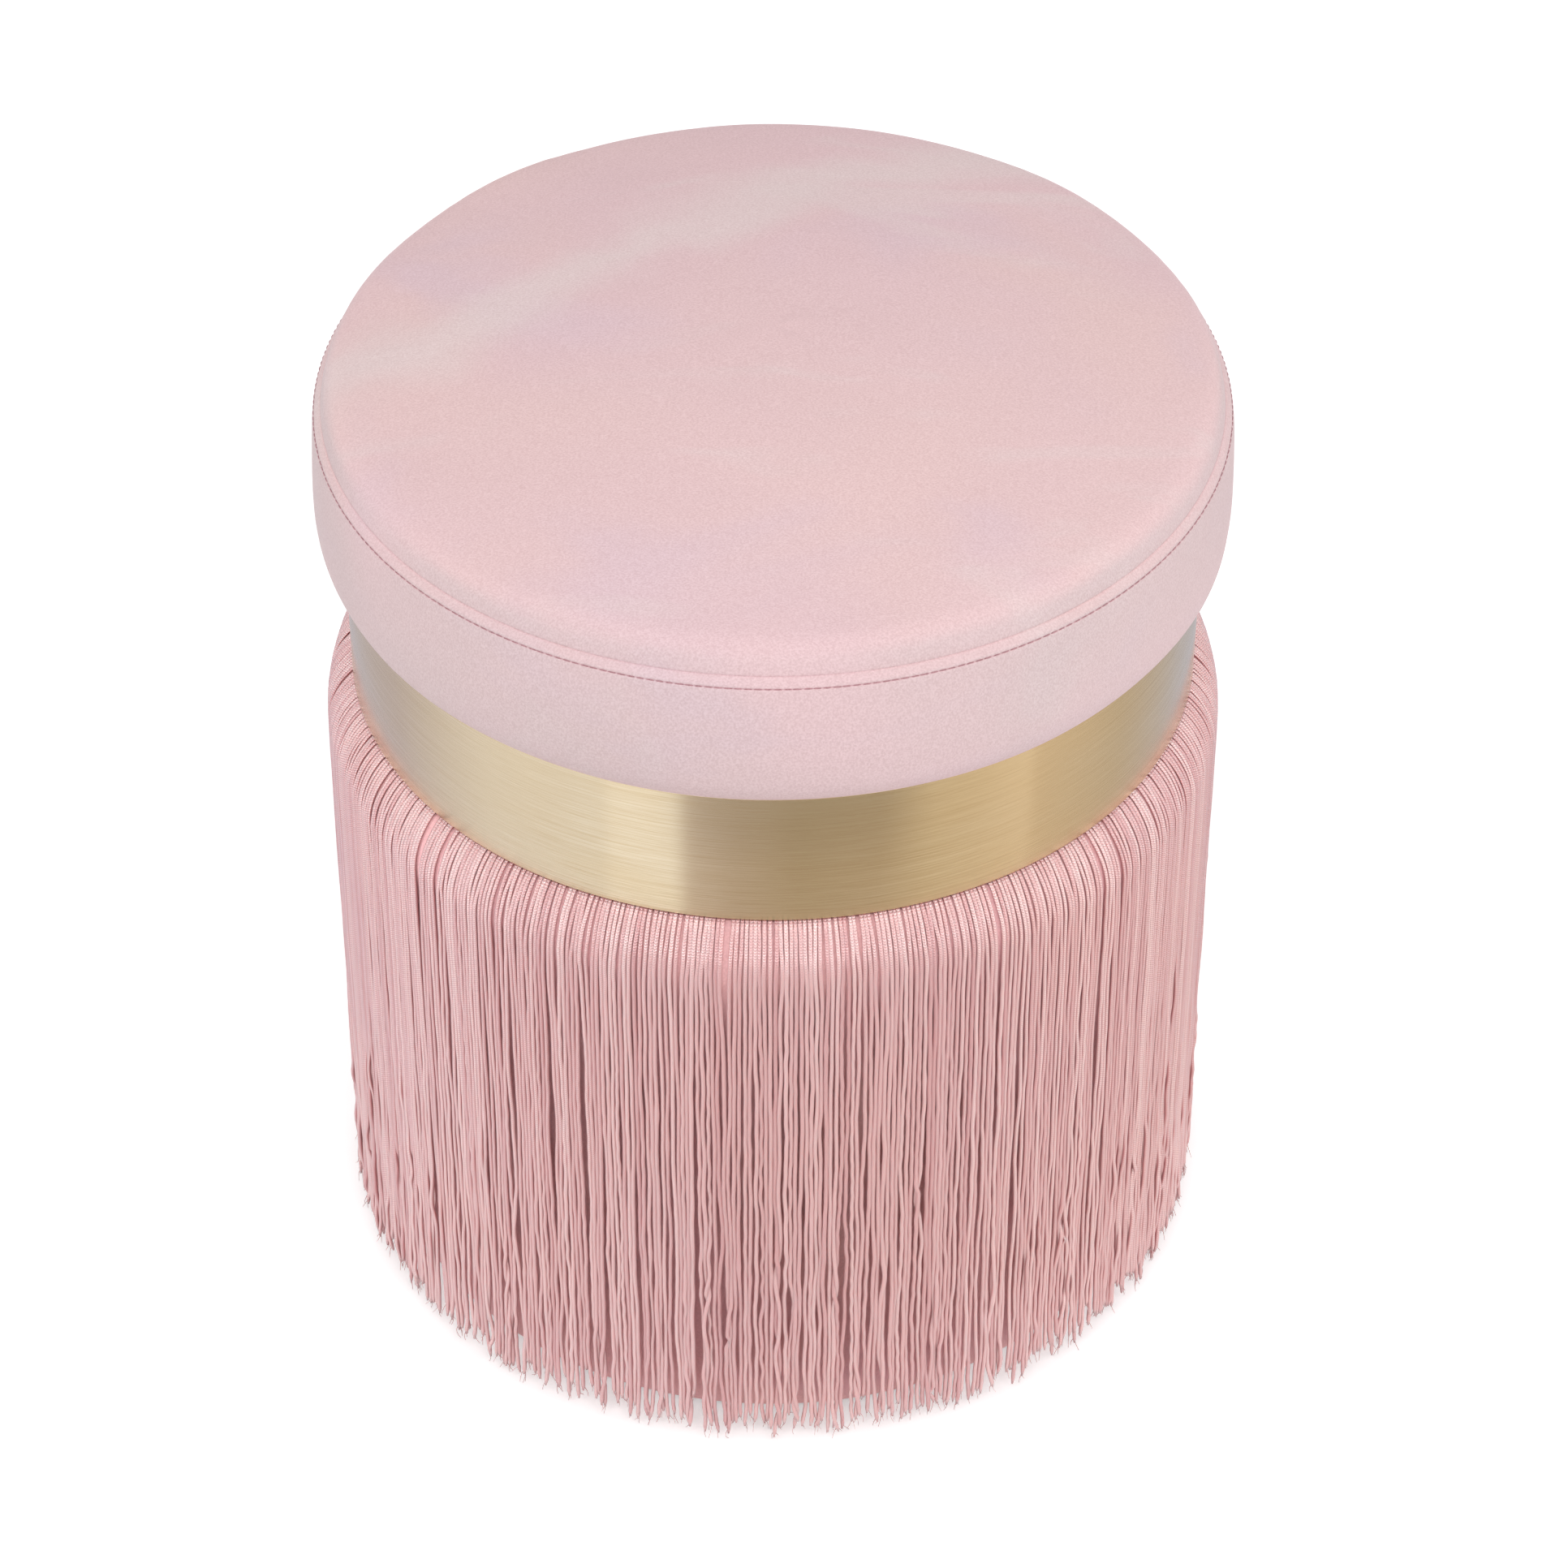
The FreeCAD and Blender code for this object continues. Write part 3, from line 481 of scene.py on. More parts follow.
def brass_material():
    """Brushed brass: fine streaks round the band, with slight uneven warmth."""
    material, tree, shader = new_material("brushed_brass")
    angle, level = bearing(tree)
    unrolled = sums("MULTIPLY", angle, BAND_OUTER * MM)
    flat = add(tree, "CombineXYZ", {"X": unrolled, "Y": level, "Z": 0.0}).outputs[0]
    long_streaks = noise(stretched(flat, (9.0, 2600.0, 1.0)), 1.0, 4.0, 0.6)
    short_streaks = noise(stretched(flat, (60.0, 5200.0, 1.0)), 1.0, 3.0, 0.6)
    long_share = sums("MULTIPLY", long_streaks, 0.55)
    streaks = sums("MULTIPLY_ADD", short_streaks, 0.45, long_share)
    warm = noise(stretched(flat, (9.0, 22.0, 1.0)), 1.0, 2.0, 0.5, 0.4)
    base = mixed(spread(warm, 0.35, 0.68), tone(232, 214, 180), tone(234, 219, 190))
    base = mixed(spread(streaks, 0.34, 0.68), base, tone(212, 190, 152))
    finished(
        shader, base, bumped(streaks, strength=0.10, distance=0.00008),
        Metallic=1.0, Anisotropic=0.9, Anisotropic_Rotation=0.25,
    )
    feed(shader.inputs["Roughness"], spread(streaks, 0.35, 0.65, 0.15, 0.22))
    round_axis = add(tree, "Tangent", axis="Z", direction_type="RADIAL").outputs[0]
    feed(shader.inputs["Tangent"], round_axis)
    return material


def plain_weave(name, light, dark, pitch, depth, roughness=0.85):
    """Flat woven cloth or tape: threads over and under at a given pitch, in metres."""
    band_scale = 0.159  # of a wave whose bands repeat every two pitches
    material, tree, shader = new_material(name)
    where = place(tree)
    warp, weft = (
        add(
            tree, "TexWave", {"Vector": where, "Scale": band_scale / pitch, "Distortion": 0.4},
            bands_direction=way,
        ).outputs["Fac"]
        for way in "XY"
    )
    over = sums("MULTIPLY", warp, weft)
    colour = mixed(over, tone(*dark), tone(*light))
    finished(shader, colour, bumped(over, 0.5, depth), Roughness=roughness)
    return material


def wood_material(name, light, dark, stretch, rings, roughness=0.6):
    """Bare timber: long grain, with darker rings and pores."""
    material, tree, shader = new_material(name)
    where = place(tree)
    grain = noise(stretched(where, stretch), rings, 5.0, 0.6, 1.2)
    pores = noise(stretched(where, [part * 5 for part in stretch]), rings * 4, 2.0, 0.5)
    colour = mixed(spread(grain, 0.35, 0.65), tone(*light), tone(*dark))
    colour = mixed(spread(pores, 0.55, 0.75, 0.0, 0.4), colour, tone(*dark))
    finished(shader, colour, bumped(grain, 0.2, 0.0004), Roughness=roughness)
    return material


def grainy_material(name, light, dark, scale, roughness, metallic=0.0, depth=0.0004):
    """Foam, wadding, moulded plastic or plated steel, by the size of its grain."""
    material, tree, shader = new_material(name)
    grain = noise(place(tree), scale, 4.0, 0.6)
    colour = mixed(spread(grain, 0.35, 0.65), tone(*light), tone(*dark))
    relief = bumped(grain, 0.3, depth)
    finished(shader, colour, relief, Roughness=roughness, Metallic=metallic)
    return material


SEAT_VELVET = velvet_material(
    "seat_velvet", rose=tone(230, 200, 203), pale=tone(231, 213, 212), peach=tone(232, 202, 201),
    cool=tone(226, 200, 207), streak=True,
)
# Painted light: the same velvet as the seat's, made lighter and pinker so that it shows bright in
# the shaded gaps between the cords
LIGHTENED_BASE_VELVET = velvet_material(
    "base_velvet", rose=tone(254, 202, 205), pale=tone(254, 212, 214), peach=tone(254, 204, 202),
    cool=tone(252, 202, 208), streak=False,
)
YARN = yarn_material()
BRASS = brass_material()
TAPE = plain_weave("heading_tape", (224, 186, 186), (186, 138, 140), 0.0012, 0.0003)
DUST = plain_weave("dust_cloth", (44, 44, 46), (22, 22, 24), 0.0016, 0.0002, 0.95)
# The thread is darker than the velvet: partly its own colour, partly painted shade of the holes that
# the stitches sink into
THREAD = grainy_material("stitch_thread", (190, 142, 148), (160, 112, 118), 1800.0, 0.6)
CAD_FINISHES = {
    "plywood": wood_material("plywood", (214, 186, 146), (184, 148, 104), (4, 40, 90), 3.0),
    "softwood": wood_material("softwood", (222, 190, 142), (190, 146, 96), (60, 60, 5), 2.0),
    "hardboard": wood_material("hardboard", (138, 98, 66), (108, 74, 50), (50, 50, 50), 6.0, 0.75),
    "foam": grainy_material("foam", (238, 230, 206), (222, 210, 180), 900.0, 0.95, depth=0.0008),
    "batting": grainy_material("batting", (244, 243, 240), (226, 225, 222), 300.0, 1.0, depth=0.002),
    "zinc_steel": grainy_material("zinc_steel", (190, 192, 194), (160, 163, 166), 700.0, 0.35, 1.0),
    "glide_plastic": grainy_material(
        "glide_plastic", (40, 40, 42), (30, 30, 32), 1500.0, 0.45, depth=0.0002
    ),
    "brass": BRASS,
    "velvet": LIGHTENED_BASE_VELVET,
    "fringe_yarn": YARN,
    "heading_tape": TAPE,
    "dust_cloth": DUST,
    "thread": THREAD,
}


# Seat

def crown_outline():
    """Top of the seat from the axis out to the seam."""
    dome = (SEAM_RADIUS ** 2 + CROWN_HEIGHT ** 2 - 2 * SEAM_RADIUS * CROWN_EDGE) / (
        2 * (CROWN_HEIGHT - CROWN_EDGE)
    )
    centre = SEAM_LEVEL + CROWN_HEIGHT - dome
    meet = math.degrees(math.atan2(SEAM_LEVEL - centre, SEAM_RADIUS - CROWN_EDGE))
    crown = arc(0, centre, dome, 90, meet, 160)
    edge = arc(SEAM_RADIUS - CROWN_EDGE, SEAM_LEVEL, CROWN_EDGE, meet, 0, 60)
    return softened(chain(crown, edge), 2.5)


def side_outline():
    """Side of the seat from the seam down and under to the hem."""
    bow = arc_between(
        (STITCH_RADIUS, STITCH_LEVEL), (SIDE_RADIUS, SEAT_UNDERSIDE + FOOT_EDGE), SIDE_BOW, -1, 60
    )
    foot = arc(SIDE_RADIUS - FOOT_EDGE, SEAT_UNDERSIDE + FOOT_EDGE, FOOT_EDGE, 0, -90, 50)
    return softened(
        chain([(SEAM_RADIUS, SEAM_LEVEL)], bow, foot, [(SEAT_HEM, SEAT_UNDERSIDE)]), 1.2, 0.25
    )


def fuller_by_cloth(outline, segments, pinned):
    """How far cloth under pressure swells from a turned outline, row by row, in millimetres."""
    normals = normals_of(outline)
    random = np.random.default_rng(5)
    uneven = random.normal(0, 0.12, (len(outline), segments))
    points, faces, _ = swept_ring(outline, segments, uneven - 0.6, normals)
    mesh = new_mesh("swell", points.tolist(), faces)
    form = new_object("swell", mesh)
    rows = [0] + [1 + (row - 1) * segments for row in range(1, len(outline))]
    held = form.vertex_groups.new(name="held")
    for row in pinned:
        first = rows[row]
        count = 1 if outline[row, 0] < TINY else segments
        held.add(list(range(first, first + count)), 1.0, "REPLACE")
    cloth = form.modifiers.new("Cloth", "CLOTH")
    cloth.settings.effector_weights.gravity = 0.0
    for setting, value in {
        "vertex_group_mass": "held", "use_pressure": True, "uniform_pressure_force": 4.0,
        "mass": 0.35, "tension_stiffness": 18.0, "compression_stiffness": 18.0,
        "bending_stiffness": 0.6, "quality": 5,
    }.items():
        setattr(cloth.settings, setting, value)
    cloth.point_cache.frame_start = 1
    cloth.point_cache.frame_end = SWELL_FRAMES
    for step in range(1, SWELL_FRAMES + 1):
        scene.frame_set(step)
    result = form.evaluated_get(bpy.context.evaluated_depsgraph_get()).to_mesh()
    moved = np.zeros(len(result.vertices) * 3)
    result.vertices.foreach_get("co", moved)
    moved = moved.reshape(-1, 3) / MM
    scene.frame_set(1)
    bpy.data.objects.remove(form)
    bpy.data.meshes.remove(mesh)
    swell = np.zeros((len(outline), segments))
    angle = angles(segments)
    for row in range(len(outline)):
        if outline[row, 0] < TINY:
            continue
        ring = moved[rows[row]:rows[row] + segments]
        out = ring[:, 0] * np.sin(angle) - ring[:, 1] * np.cos(angle) - outline[row, 0]
        up = ring[:, 2] - outline[row, 1]
        swell[row] = out * normals[row, 0] + up * normals[row, 1]
    waves = np.fft.rfft(swell, axis=1)
    waves[:, 0] = 0
    waves[:, SWELL_WAVES + 1:] = 0
    eased_swell = SWELL_SHARE * np.fft.irfft(waves, segments, axis=1)
    return np.clip(eased_swell, -SWELL_LIMIT, SWELL_LIMIT)


def finer(values, rows, segments):
    """Rows and columns of a coarse field, read smoothly at finer places."""
    count = values.shape[1]
    at = np.arange(segments) * count / segments
    low = np.floor(at).astype(int)
    share = eased(at - low)
    wide = values[:, low % count] * (1 - share) + values[:, (low + 1) % count] * share
    base = np.clip(np.floor(rows).astype(int), 0, values.shape[0] - 2)
    part = (rows - base)[:, None]
    return wide[base] * (1 - part) + wide[base + 1] * part


def seat_swell(top, side):
    """Swell of the closed seat cover, row by row: the top's rows first, then the side's."""
    rows = TOP_ROWS + SIDE_ROWS - 1
    coarse_top = resampled(top, np.linspace(0, along(top)[-1], TOP_ROWS))
    coarse_side = resampled(side, np.linspace(0, along(side)[-1], SIDE_ROWS))
    closed = chain(coarse_top, coarse_side, [(0.0, SEAT_UNDERSIDE)])
    closed[0, 0] = closed[-1, 0] = 0.0
    return fuller_by_cloth(closed, SWELL_SEGMENTS, [TOP_ROWS - 1, rows - 1, rows])[:-1]


def make_seat():
    """Domed top panel and side panel, swelled by cloth under pressure, seamed and topstitched."""
    top = crown_outline()
    side = side_outline()
    swell = seat_swell(top, side)
    make_top_panel(top, swell[:TOP_ROWS])
    make_side_panel(side, swell[TOP_ROWS - 1:])
    make_stitches()


def make_top_panel(outline, swell):
    """Velvet of the crown, with closer rows towards the seam."""
    angle = angles(SEAT_SEGMENTS)[None, :]
    whole = along(outline)[-1]
    share = np.linspace(0, 1, 74)
    stations = whole * (1 - (1 - share) ** 2.4)
    stations = np.unique(np.concatenate([stations, whole - np.arange(0, 5.0, 0.25)]))
    fine = resampled(outline, stations)
    fine[0, 0] = 0.0
    from_seam = whole - stations
    push = finer(swell, stations / whole * (TOP_ROWS - 1), SEAT_SEGMENTS)
    push = push * np.clip(from_seam / 14, 0, 1)[:, None]
    loose = ripples(angle, stations[:, None], 3, 9, (0, 5), (60, 160))
    push = push + 0.22 * loose * np.clip(from_seam / 25, 0, 1)[:, None]
    pucker = ripples(angle, stations[:, None] * 0, 4, 16, (30, 110), (50, 90))
    push = push + 0.10 * pucker * hump(from_seam[:, None] - 3.5, 3.0)
    push = push - 0.07 * hump(from_seam, 0.6)[:, None]
    inner = resampled(outline, np.linspace(whole, 0, 16))
    inner = inner + normals_of(inner) * SEAT_CLOTH
    inner[-1, 0] = 0.0
    inner[0] = fine[-1] + (-SEAT_CLOTH, 0)
    points, faces, row_of = with_lining(fine, normals_of(fine), push, inner)
    panel = piece_from("seat_top_panel", points, faces, SEAT_VELVET)
    # Painted shade: a dark line along the seam crease, and the inner face, inside the seat, darkened
    # fully
    dark = np.concatenate([0.16 * hump(from_seam, 0.45), np.ones(len(inner))])
    mark(panel, "painted_crease_shade", dark[row_of])
    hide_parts("seat_cover_top")


def make_side_panel(outline, swell):
    """Velvet of the side: a rolled fold at the seam, a flat strip, the stitch groove, the side."""
    angle = angles(SEAT_SEGMENTS)[None, :]
    whole = along(outline)[-1]
    stations = np.unique(np.concatenate([np.arange(0, 7.0, 0.25), np.linspace(7.0, whole, 52)]))
    down = stations[:, None]
    fine = resampled(outline, stations)
    normals = normals_of(fine)
    normals[0] = normals[1]
    push = finer(swell, stations / whole * (SIDE_ROWS - 1), SEAT_SEGMENTS)
    free = np.clip((stations - 6) / 10, 0, 1) * np.clip((whole - 30 - stations) / 10, 0, 1)
    push = push * free[:, None]
    loose = ripples(angle, down, 7, 9, (2, 9), (50, 120))
    push = push + 0.25 * loose * free[:, None]

    # The fold at the seam and the foot drawn in towards the board
    fold = ripples(angle, down * 0, 8, 12, (12, 60), (50, 90))
    push = push - 0.14 * hump(stations, 0.5)[:, None]
    push = push + 0.04 * fold * hump(down - 1.2, 0.8)
    push = push - 0.6 * hump(fine[:, 1] - SEAT_UNDERSIDE - 11, 8)[:, None]

    # The groove that each stitch pulls in, and the cloth gathered below it
    stitch_at = math.hypot(STITCH_RADIUS - SEAM_RADIUS, SEAM_LEVEL - STITCH_LEVEL)
    tug = 0.5 + 0.5 * np.cos(angle * STITCH_COUNT)
    groove = hump(stations - stitch_at, 0.45)[:, None]
    push = push - groove * (0.10 + 0.22 * tug)
    gather = ripples(angle, down * 0, 9, 18, (60, 150), (50, 90))
    push = push + 0.07 * gather * hump(down - stitch_at - 2.0, 2.2)

    # The outer face stays clear of the inner one
    push = np.maximum(push, -0.85)
    inner = resampled(outline, np.linspace(whole, 0, 14))
    inner = inner + normals_of(inner) * SEAT_CLOTH
    inner[-1] = fine[0] + (-SEAT_CLOTH, 0)
    points, faces, row_of = with_lining(fine, normals, push, inner)
    panel = piece_from("seat_side_panel", points, faces, SEAT_VELVET)
    # Painted shade: a dark line along the seam crease, a darker one in the stitch groove, and the
    # inner face, inside the seat, darkened fully
    dark = 0.16 * hump(stations, 0.35) + 0.5 * hump(stations - stitch_at, 0.3)
    mark(panel, "painted_crease_shade", np.concatenate([dark, np.ones(len(inner))])[row_of])
    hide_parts("seat_cover_band")


def tubes(centres, radii, sides, normal, deep=1.0):
    """Tubes along many paths at once. centres is (tubes, rings, 3) in mm, radii (tubes, rings).

    deep is how thick each ring is along its normal, as a share of its width.
    """
    count, rings, _ = centres.shape
    tangent = np.gradient(centres, axis=1)
    tangent /= np.linalg.norm(tangent, axis=2, keepdims=True)
    side = np.cross(tangent, normal)
    side /= np.maximum(np.linalg.norm(side, axis=2, keepdims=True), TINY)
    out = np.cross(side, tangent)
    turn = (np.arange(sides) + 0.5) * TURN / sides
    ring = (
        side[:, :, None, :] * np.sin(turn)[None, None, :, None]
        - out[:, :, None, :] * np.cos(turn)[None, None, :, None] * np.reshape(deep, (1, -1, 1, 1))
    )
    points = centres[:, :, None, :] + ring * radii[:, :, None, None]
    index = np.arange(count * rings * sides).reshape(count, rings, sides)
    here = index[:, :-1]
    after = index[:, 1:]
    quads = np.stack([
        here, np.roll(here, -1, axis=2), np.roll(after, -1, axis=2), after
    ], axis=-1).reshape(-1, 4)
    caps = [list(map(int, end[::-1])) for end in index[:, 0]]
    caps += [list(map(int, end)) for end in index[:, -1]]
    return points.reshape(-1, 3), quads, caps


def make_stitches():
    """Short separate stitches round the side panel, sunk at both ends."""
    count = STITCH_COUNT
    random = np.random.default_rng(21)
    middle = (np.arange(count) + 0.5) * TURN / count + random.normal(0, 0.0006, count)
    length = random.uniform(2.7, 3.1, count) / STITCH_RADIUS
    share = np.linspace(-0.5, 0.5, 7)
    angle = middle[:, None] + share[None, :] * length[:, None]
    out_r = (STITCH_RADIUS - SEAM_RADIUS) / 4.75
    slope = math.atan2(SEAM_LEVEL - STITCH_LEVEL, STITCH_RADIUS - SEAM_RADIUS)
    lift = -0.26 - 0.42 * (2 * np.abs(share)) ** 3
    radius = STITCH_RADIUS + lift * math.sin(slope)
    level = STITCH_LEVEL + lift * math.cos(slope)
    centres = np.stack([
        radius[None, :] * np.sin(angle), -radius[None, :] * np.cos(angle),
        np.broadcast_to(level, angle.shape),
    ], axis=-1)
    normal = np.stack([np.sin(angle), -np.cos(angle), np.full(angle.shape, out_r)], axis=-1)
    radii = np.broadcast_to(0.20 * (1 - 0.25 * (2 * np.abs(share)) ** 4), angle.shape)
    points, quads, caps = tubes(centres, radii, 6, normal)
    made = piece_from(
        "seat_topstitch_thread", points * MM, quads.tolist() + caps, THREAD
    )
    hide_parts("seat_topstitch")


# Base, tape and dust cloth

def base_outline(inset):
    """Velvet of the base from the hem on top over the shoulder down to the hem underneath."""
    gap = (HEADING_TOP - HEADING_BASE) / 2 + inset
    tight = SHOULDER_TIGHT - gap
    wide = SHOULDER_WIDE - gap
    first = CORD_LEVEL - SHOULDER_TIGHT
    shift = (SHOULDER_TIGHT - SHOULDER_WIDE) * SIN_45
    return chain(
        [(BASE_HEM, HEADING_BASE - inset)],
        arc(HEADING_OUTER, first, tight, 90, 45, 14),
        arc(HEADING_OUTER + shift, first + shift, wide, 45, 0, 30),
        resampled(
            np.array([
                (HEADING_OUTER + shift + wide, first + shift),
                (FOOT_RADIUS - inset, FOOT_LEVEL + FOOT_ROUND),
            ]),
            np.linspace(0, 246, 60),
        ),
        arc(FOOT_RADIUS - FOOT_ROUND, FOOT_LEVEL + FOOT_ROUND, FOOT_ROUND - inset, 0, -90, 12),
        [(BASE_HEM, FOOT_LEVEL + inset)],
    )


def make_base_cloth():
    """Velvet over the drum, slack by a fraction of a millimetre between its staples."""
    segments = 360
    outer = base_outline(0.0)
    inner = resampled(base_outline(1.0), np.linspace(along(base_outline(1.0))[-1], 0, 30))
    run = along(outer)
    waves = ripples(angles(segments)[None, :], run[:, None], 31, 14, (3, 22), (120, 420))
    free = np.clip((outer[:, 0] - 164) / 6, 0, 1) * np.clip((outer[:, 1] - 8) / 20, 0, 1)
    free = free * np.clip((262 - outer[:, 1]) / 25, 0, 1)
    push = np.clip((-0.12 + 0.16 * waves) * free[:, None], -0.6, 0.08)
    points, faces, _ = with_lining(outer, normals_of(outer), push, inner)
    cover = piece_from("base_velvet_cover", points, faces, LIGHTENED_BASE_VELVET)
    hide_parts("base_cover")


def make_tape():
    """Woven heading that the cords are sewn to."""
    segments = 360
    middle = (HEADING_BASE + HEADING_TOP) / 2
    half = (HEADING_TOP - HEADING_BASE) / 2
    outline = chain(
        [(HEADING_INNER + 0.5, middle + half)],
        arc(HEADING_OUTER - 0.5, middle + half - 0.5, 0.5, 90, 0, 4),
        arc(HEADING_OUTER - 0.5, middle - half + 0.5, 0.5, 0, -90, 4),
        arc(HEADING_INNER + 0.5, middle - half + 0.5, 0.5, 270, 180, 4),
        arc(HEADING_INNER + 0.5, middle + half - 0.5, 0.5, 180, 95, 4),
    )
    points, faces, _ = swept_ring(outline, segments)
    made = piece_from("fringe_tape", points, faces, TAPE)
    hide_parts("fringe_heading")
    return made


def make_dust_cloth():
    """Black cloth under the base, taut between its staples."""
    segments = 240
    radius = np.concatenate([np.linspace(0, DUST_RADIUS - 0.4, 40), [DUST_RADIUS]])
    lower = np.column_stack([radius, np.full(len(radius), DUST_BASE)])
    lower[-1, 1] += 0.2
    upper = np.column_stack([radius[::-1], np.full(len(radius), DUST_TOP)])
    normals = np.column_stack([np.zeros(len(radius)), np.ones(len(radius))])
    waves = ripples(angles(segments)[None, :], radius[:, None], 41, 12, (0, 16), (60, 200))
    sag = 0.2 + 0.13 * waves
    sag = np.clip(sag, 0, 0.45) * np.clip((DUST_RADIUS - 22 - radius) / 20, 0, 1)[:, None]
    outline = np.vstack([lower, upper])
    rows = np.vstack([sag, sag[::-1] * 0.2])
    points, faces, _ = swept_ring(outline, segments, rows, np.vstack([normals, normals]))
    made = piece_from("base_dust_cloth", points, faces, DUST)
    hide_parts("dust_cover")


# Brass band

def make_band():
    """Brass strip round the collar with eased edges and a butt joint at the back."""
    soft = 0.18
    outline = chain(
        [(BAND_INNER, BAND_TOP), (BAND_INNER, BAND_BOTTOM)],
        arc(BAND_OUTER - soft, BAND_BOTTOM + soft, soft, -90, 0, 5),
        arc(BAND_OUTER - soft, BAND_TOP - soft, soft, 0, 90, 5),
    )
    gap = 0.4 / BAND_OUTER
    points, faces, _ = swept_ring(
        outline[::-1], 720, start=math.pi + gap / 2, sweep=TURN - gap
    )
    made = piece_from("brass_band_strip", points, faces, BRASS)
    made.data.set_sharp_from_angle(angle=math.radians(35))
    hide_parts("brass_band")


# Fringe

def grouped(random, count, whole, closest, sizes, wide):
    """Places round the drum for cords in uneven groups, which fill the whole way round.

    closest is the least step between cords, sizes the most and fewest cords of a group, and
    wide how large the steps between groups are.
    """
    steps = []
    left = 0
    for _ in range(count):
        if left <= 0:
            left = int(random.integers(*sizes))
            steps.append(closest + 0.1 + random.gamma(1.3, wide))
        else:
            steps.append(closest + random.gamma(1.2, 0.14))
        left -= 1
    extra = np.array(steps) - closest
    extra *= (whole - closest * count) / extra.sum()
    return np.cumsum(closest + extra)


def levelled(places, guide, window):
    """The places with their slow drift away from the guide taken out."""
    drift = places - guide
    turned = np.fft.rfft(drift)
    turned[max(1, len(drift) // window):] = 0
    return places - np.fft.irfft(turned, len(drift))


def cord_run(random):
    """Radius and height of each ring of each cord, the tips' heights, and the bend's rings."""
    shift = (SHOULDER_TIGHT - SHOULDER_WIDE) * SIN_45
    first = CORD_LEVEL - SHOULDER_TIGHT
    shoulder = chain(
        arc(HEADING_OUTER, first, SHOULDER_TIGHT, 90, 45, 6),
        arc(HEADING_OUTER + shift, first + shift, SHOULDER_WIDE, 45, 0, 9),
    )
    tip = 4.5 + 12.5 * random.beta(1.6, 1.9, CORD_COUNT)
    short = random.random(CORD_COUNT) < 0.09
    tip[short] += random.uniform(3, 15, short.sum())
    drop = first + shift
    share = np.linspace(0, 1, RINGS_DOWN + 1)[1:]
    down = drop - (drop - tip)[:, None] * share[None, :]
    radius = np.concatenate([shoulder[:, 0], np.full(RINGS_DOWN, hang_radius())])
    level = np.hstack([np.broadcast_to(shoulder[:, 1], (CORD_COUNT, len(shoulder))), down])
    return np.broadcast_to(radius, level.shape), level, tip, len(shoulder)


def hang_radius():
    """Radius at which the cords hang straight down."""
    return HEADING_OUTER + (SHOULDER_TIGHT - SHOULDER_WIDE) * SIN_45 + SHOULDER_WIDE


def phases(random, low, high):
    """A pitch and a start of its own for each cord's waves."""
    pitch = random.uniform(low, high, CORD_COUNT)[:, None]
    return pitch, random.uniform(0, TURN, CORD_COUNT)[:, None]


def spirit(random):
    """How lively each cord's waves are: 1 on average."""
    return random.gamma(2.0, 0.5, CORD_COUNT)[:, None]


def cord_places(random, fall, run):
    """Place round the drum and depth off the cloth, for each ring of each cord."""
    count = CORD_COUNT
    whole = TURN * hang_radius()
    guide = (np.arange(count) + 0.5) * whole / count
    even = levelled(grouped(random, count, whole, 1.74, (5, 15), 0.9), guide, 30)
    upper = levelled(grouped(random, count, whole, 1.54, (2, 8), 0.32), even, 14)
    lower = levelled(grouped(random, count, whole, 1.45, (1, 6), 0.32), upper, 10)
    lower += random.normal(0, 0.5, count)
    early = eased(fall / 0.42)
    late = eased((fall - 0.3) / 0.6)
    place_at = even[:, None] + early * (upper - even)[:, None] + late * (lower - upper)[:, None]

    # Slow sway that grows towards the tips, a few kinked cords, and tips that flick aside
    for size, low, high in ((0.36, 60, 130), (0.34, 28, 56)):
        pitch, phase = phases(random, low, high)
        sway = size * spirit(random) * (0.5 + 1.1 * fall ** 1.3)
        place_at += sway * np.sin(TURN * run / pitch + phase)
    kinked = random.random(count) < 0.30
    kink_at = random.uniform(0.45, 0.97, count)[:, None]
    kink_wide = random.uniform(0.012, 0.035, count)[:, None]
    bend = hump(fall - kink_at, kink_wide) * random.normal(0, 1.5, count)[:, None]
    place_at += bend * kinked[:, None]
    flick = np.clip((fall - 0.93) / 0.06, 0, 1) ** 2
    place_at += flick * random.normal(0, 1.1, count)[:, None]

    depth = 0.25 * fall * random.normal(0, 1, count)[:, None]
    pitch, phase = phases(random, 30, 110)
    depth += 0.45 * fall * np.sin(TURN * run / pitch + phase)
    depth += flick * random.normal(-0.3, 1.2, count)[:, None]
    return place_at, depth


def parted(place_at, depth, fall, bent):
    """The cords after those that run through a neighbour part sideways and in depth."""
    whole = TURN * hang_radius()
    rings = fall.shape[1]
    for _ in range(60):
        for step in (1, 2):
            apart = np.roll(place_at, -step, axis=0) - place_at
            apart[-step:] += whole
            deep = np.roll(depth, -step, axis=0) - depth
            distance = np.hypot(apart, deep) + TINY
            overlap = np.clip(CLOSEST - distance, 0, None) * 0.3 * (fall > 0.015)
            side_push = overlap * apart / distance
            deep_sign = np.where(deep >= 0, 1.0, -1.0)
            deep_push = overlap * (np.abs(deep) / distance + 0.25) * deep_sign * fall
            place_at -= side_push
            depth -= deep_push
            place_at += np.roll(side_push, step, axis=0)
            depth += np.roll(deep_push, step, axis=0)
        for field in (place_at, depth):
            smooth = (field[:, bent - 1:rings - 2] + field[:, bent + 1:rings]) / 2
            field[:, bent:rings - 1] += 0.12 * (smooth - field[:, bent:rings - 1])
        depth = np.clip(depth, *DEPTH_RANGE)
    return place_at, depth


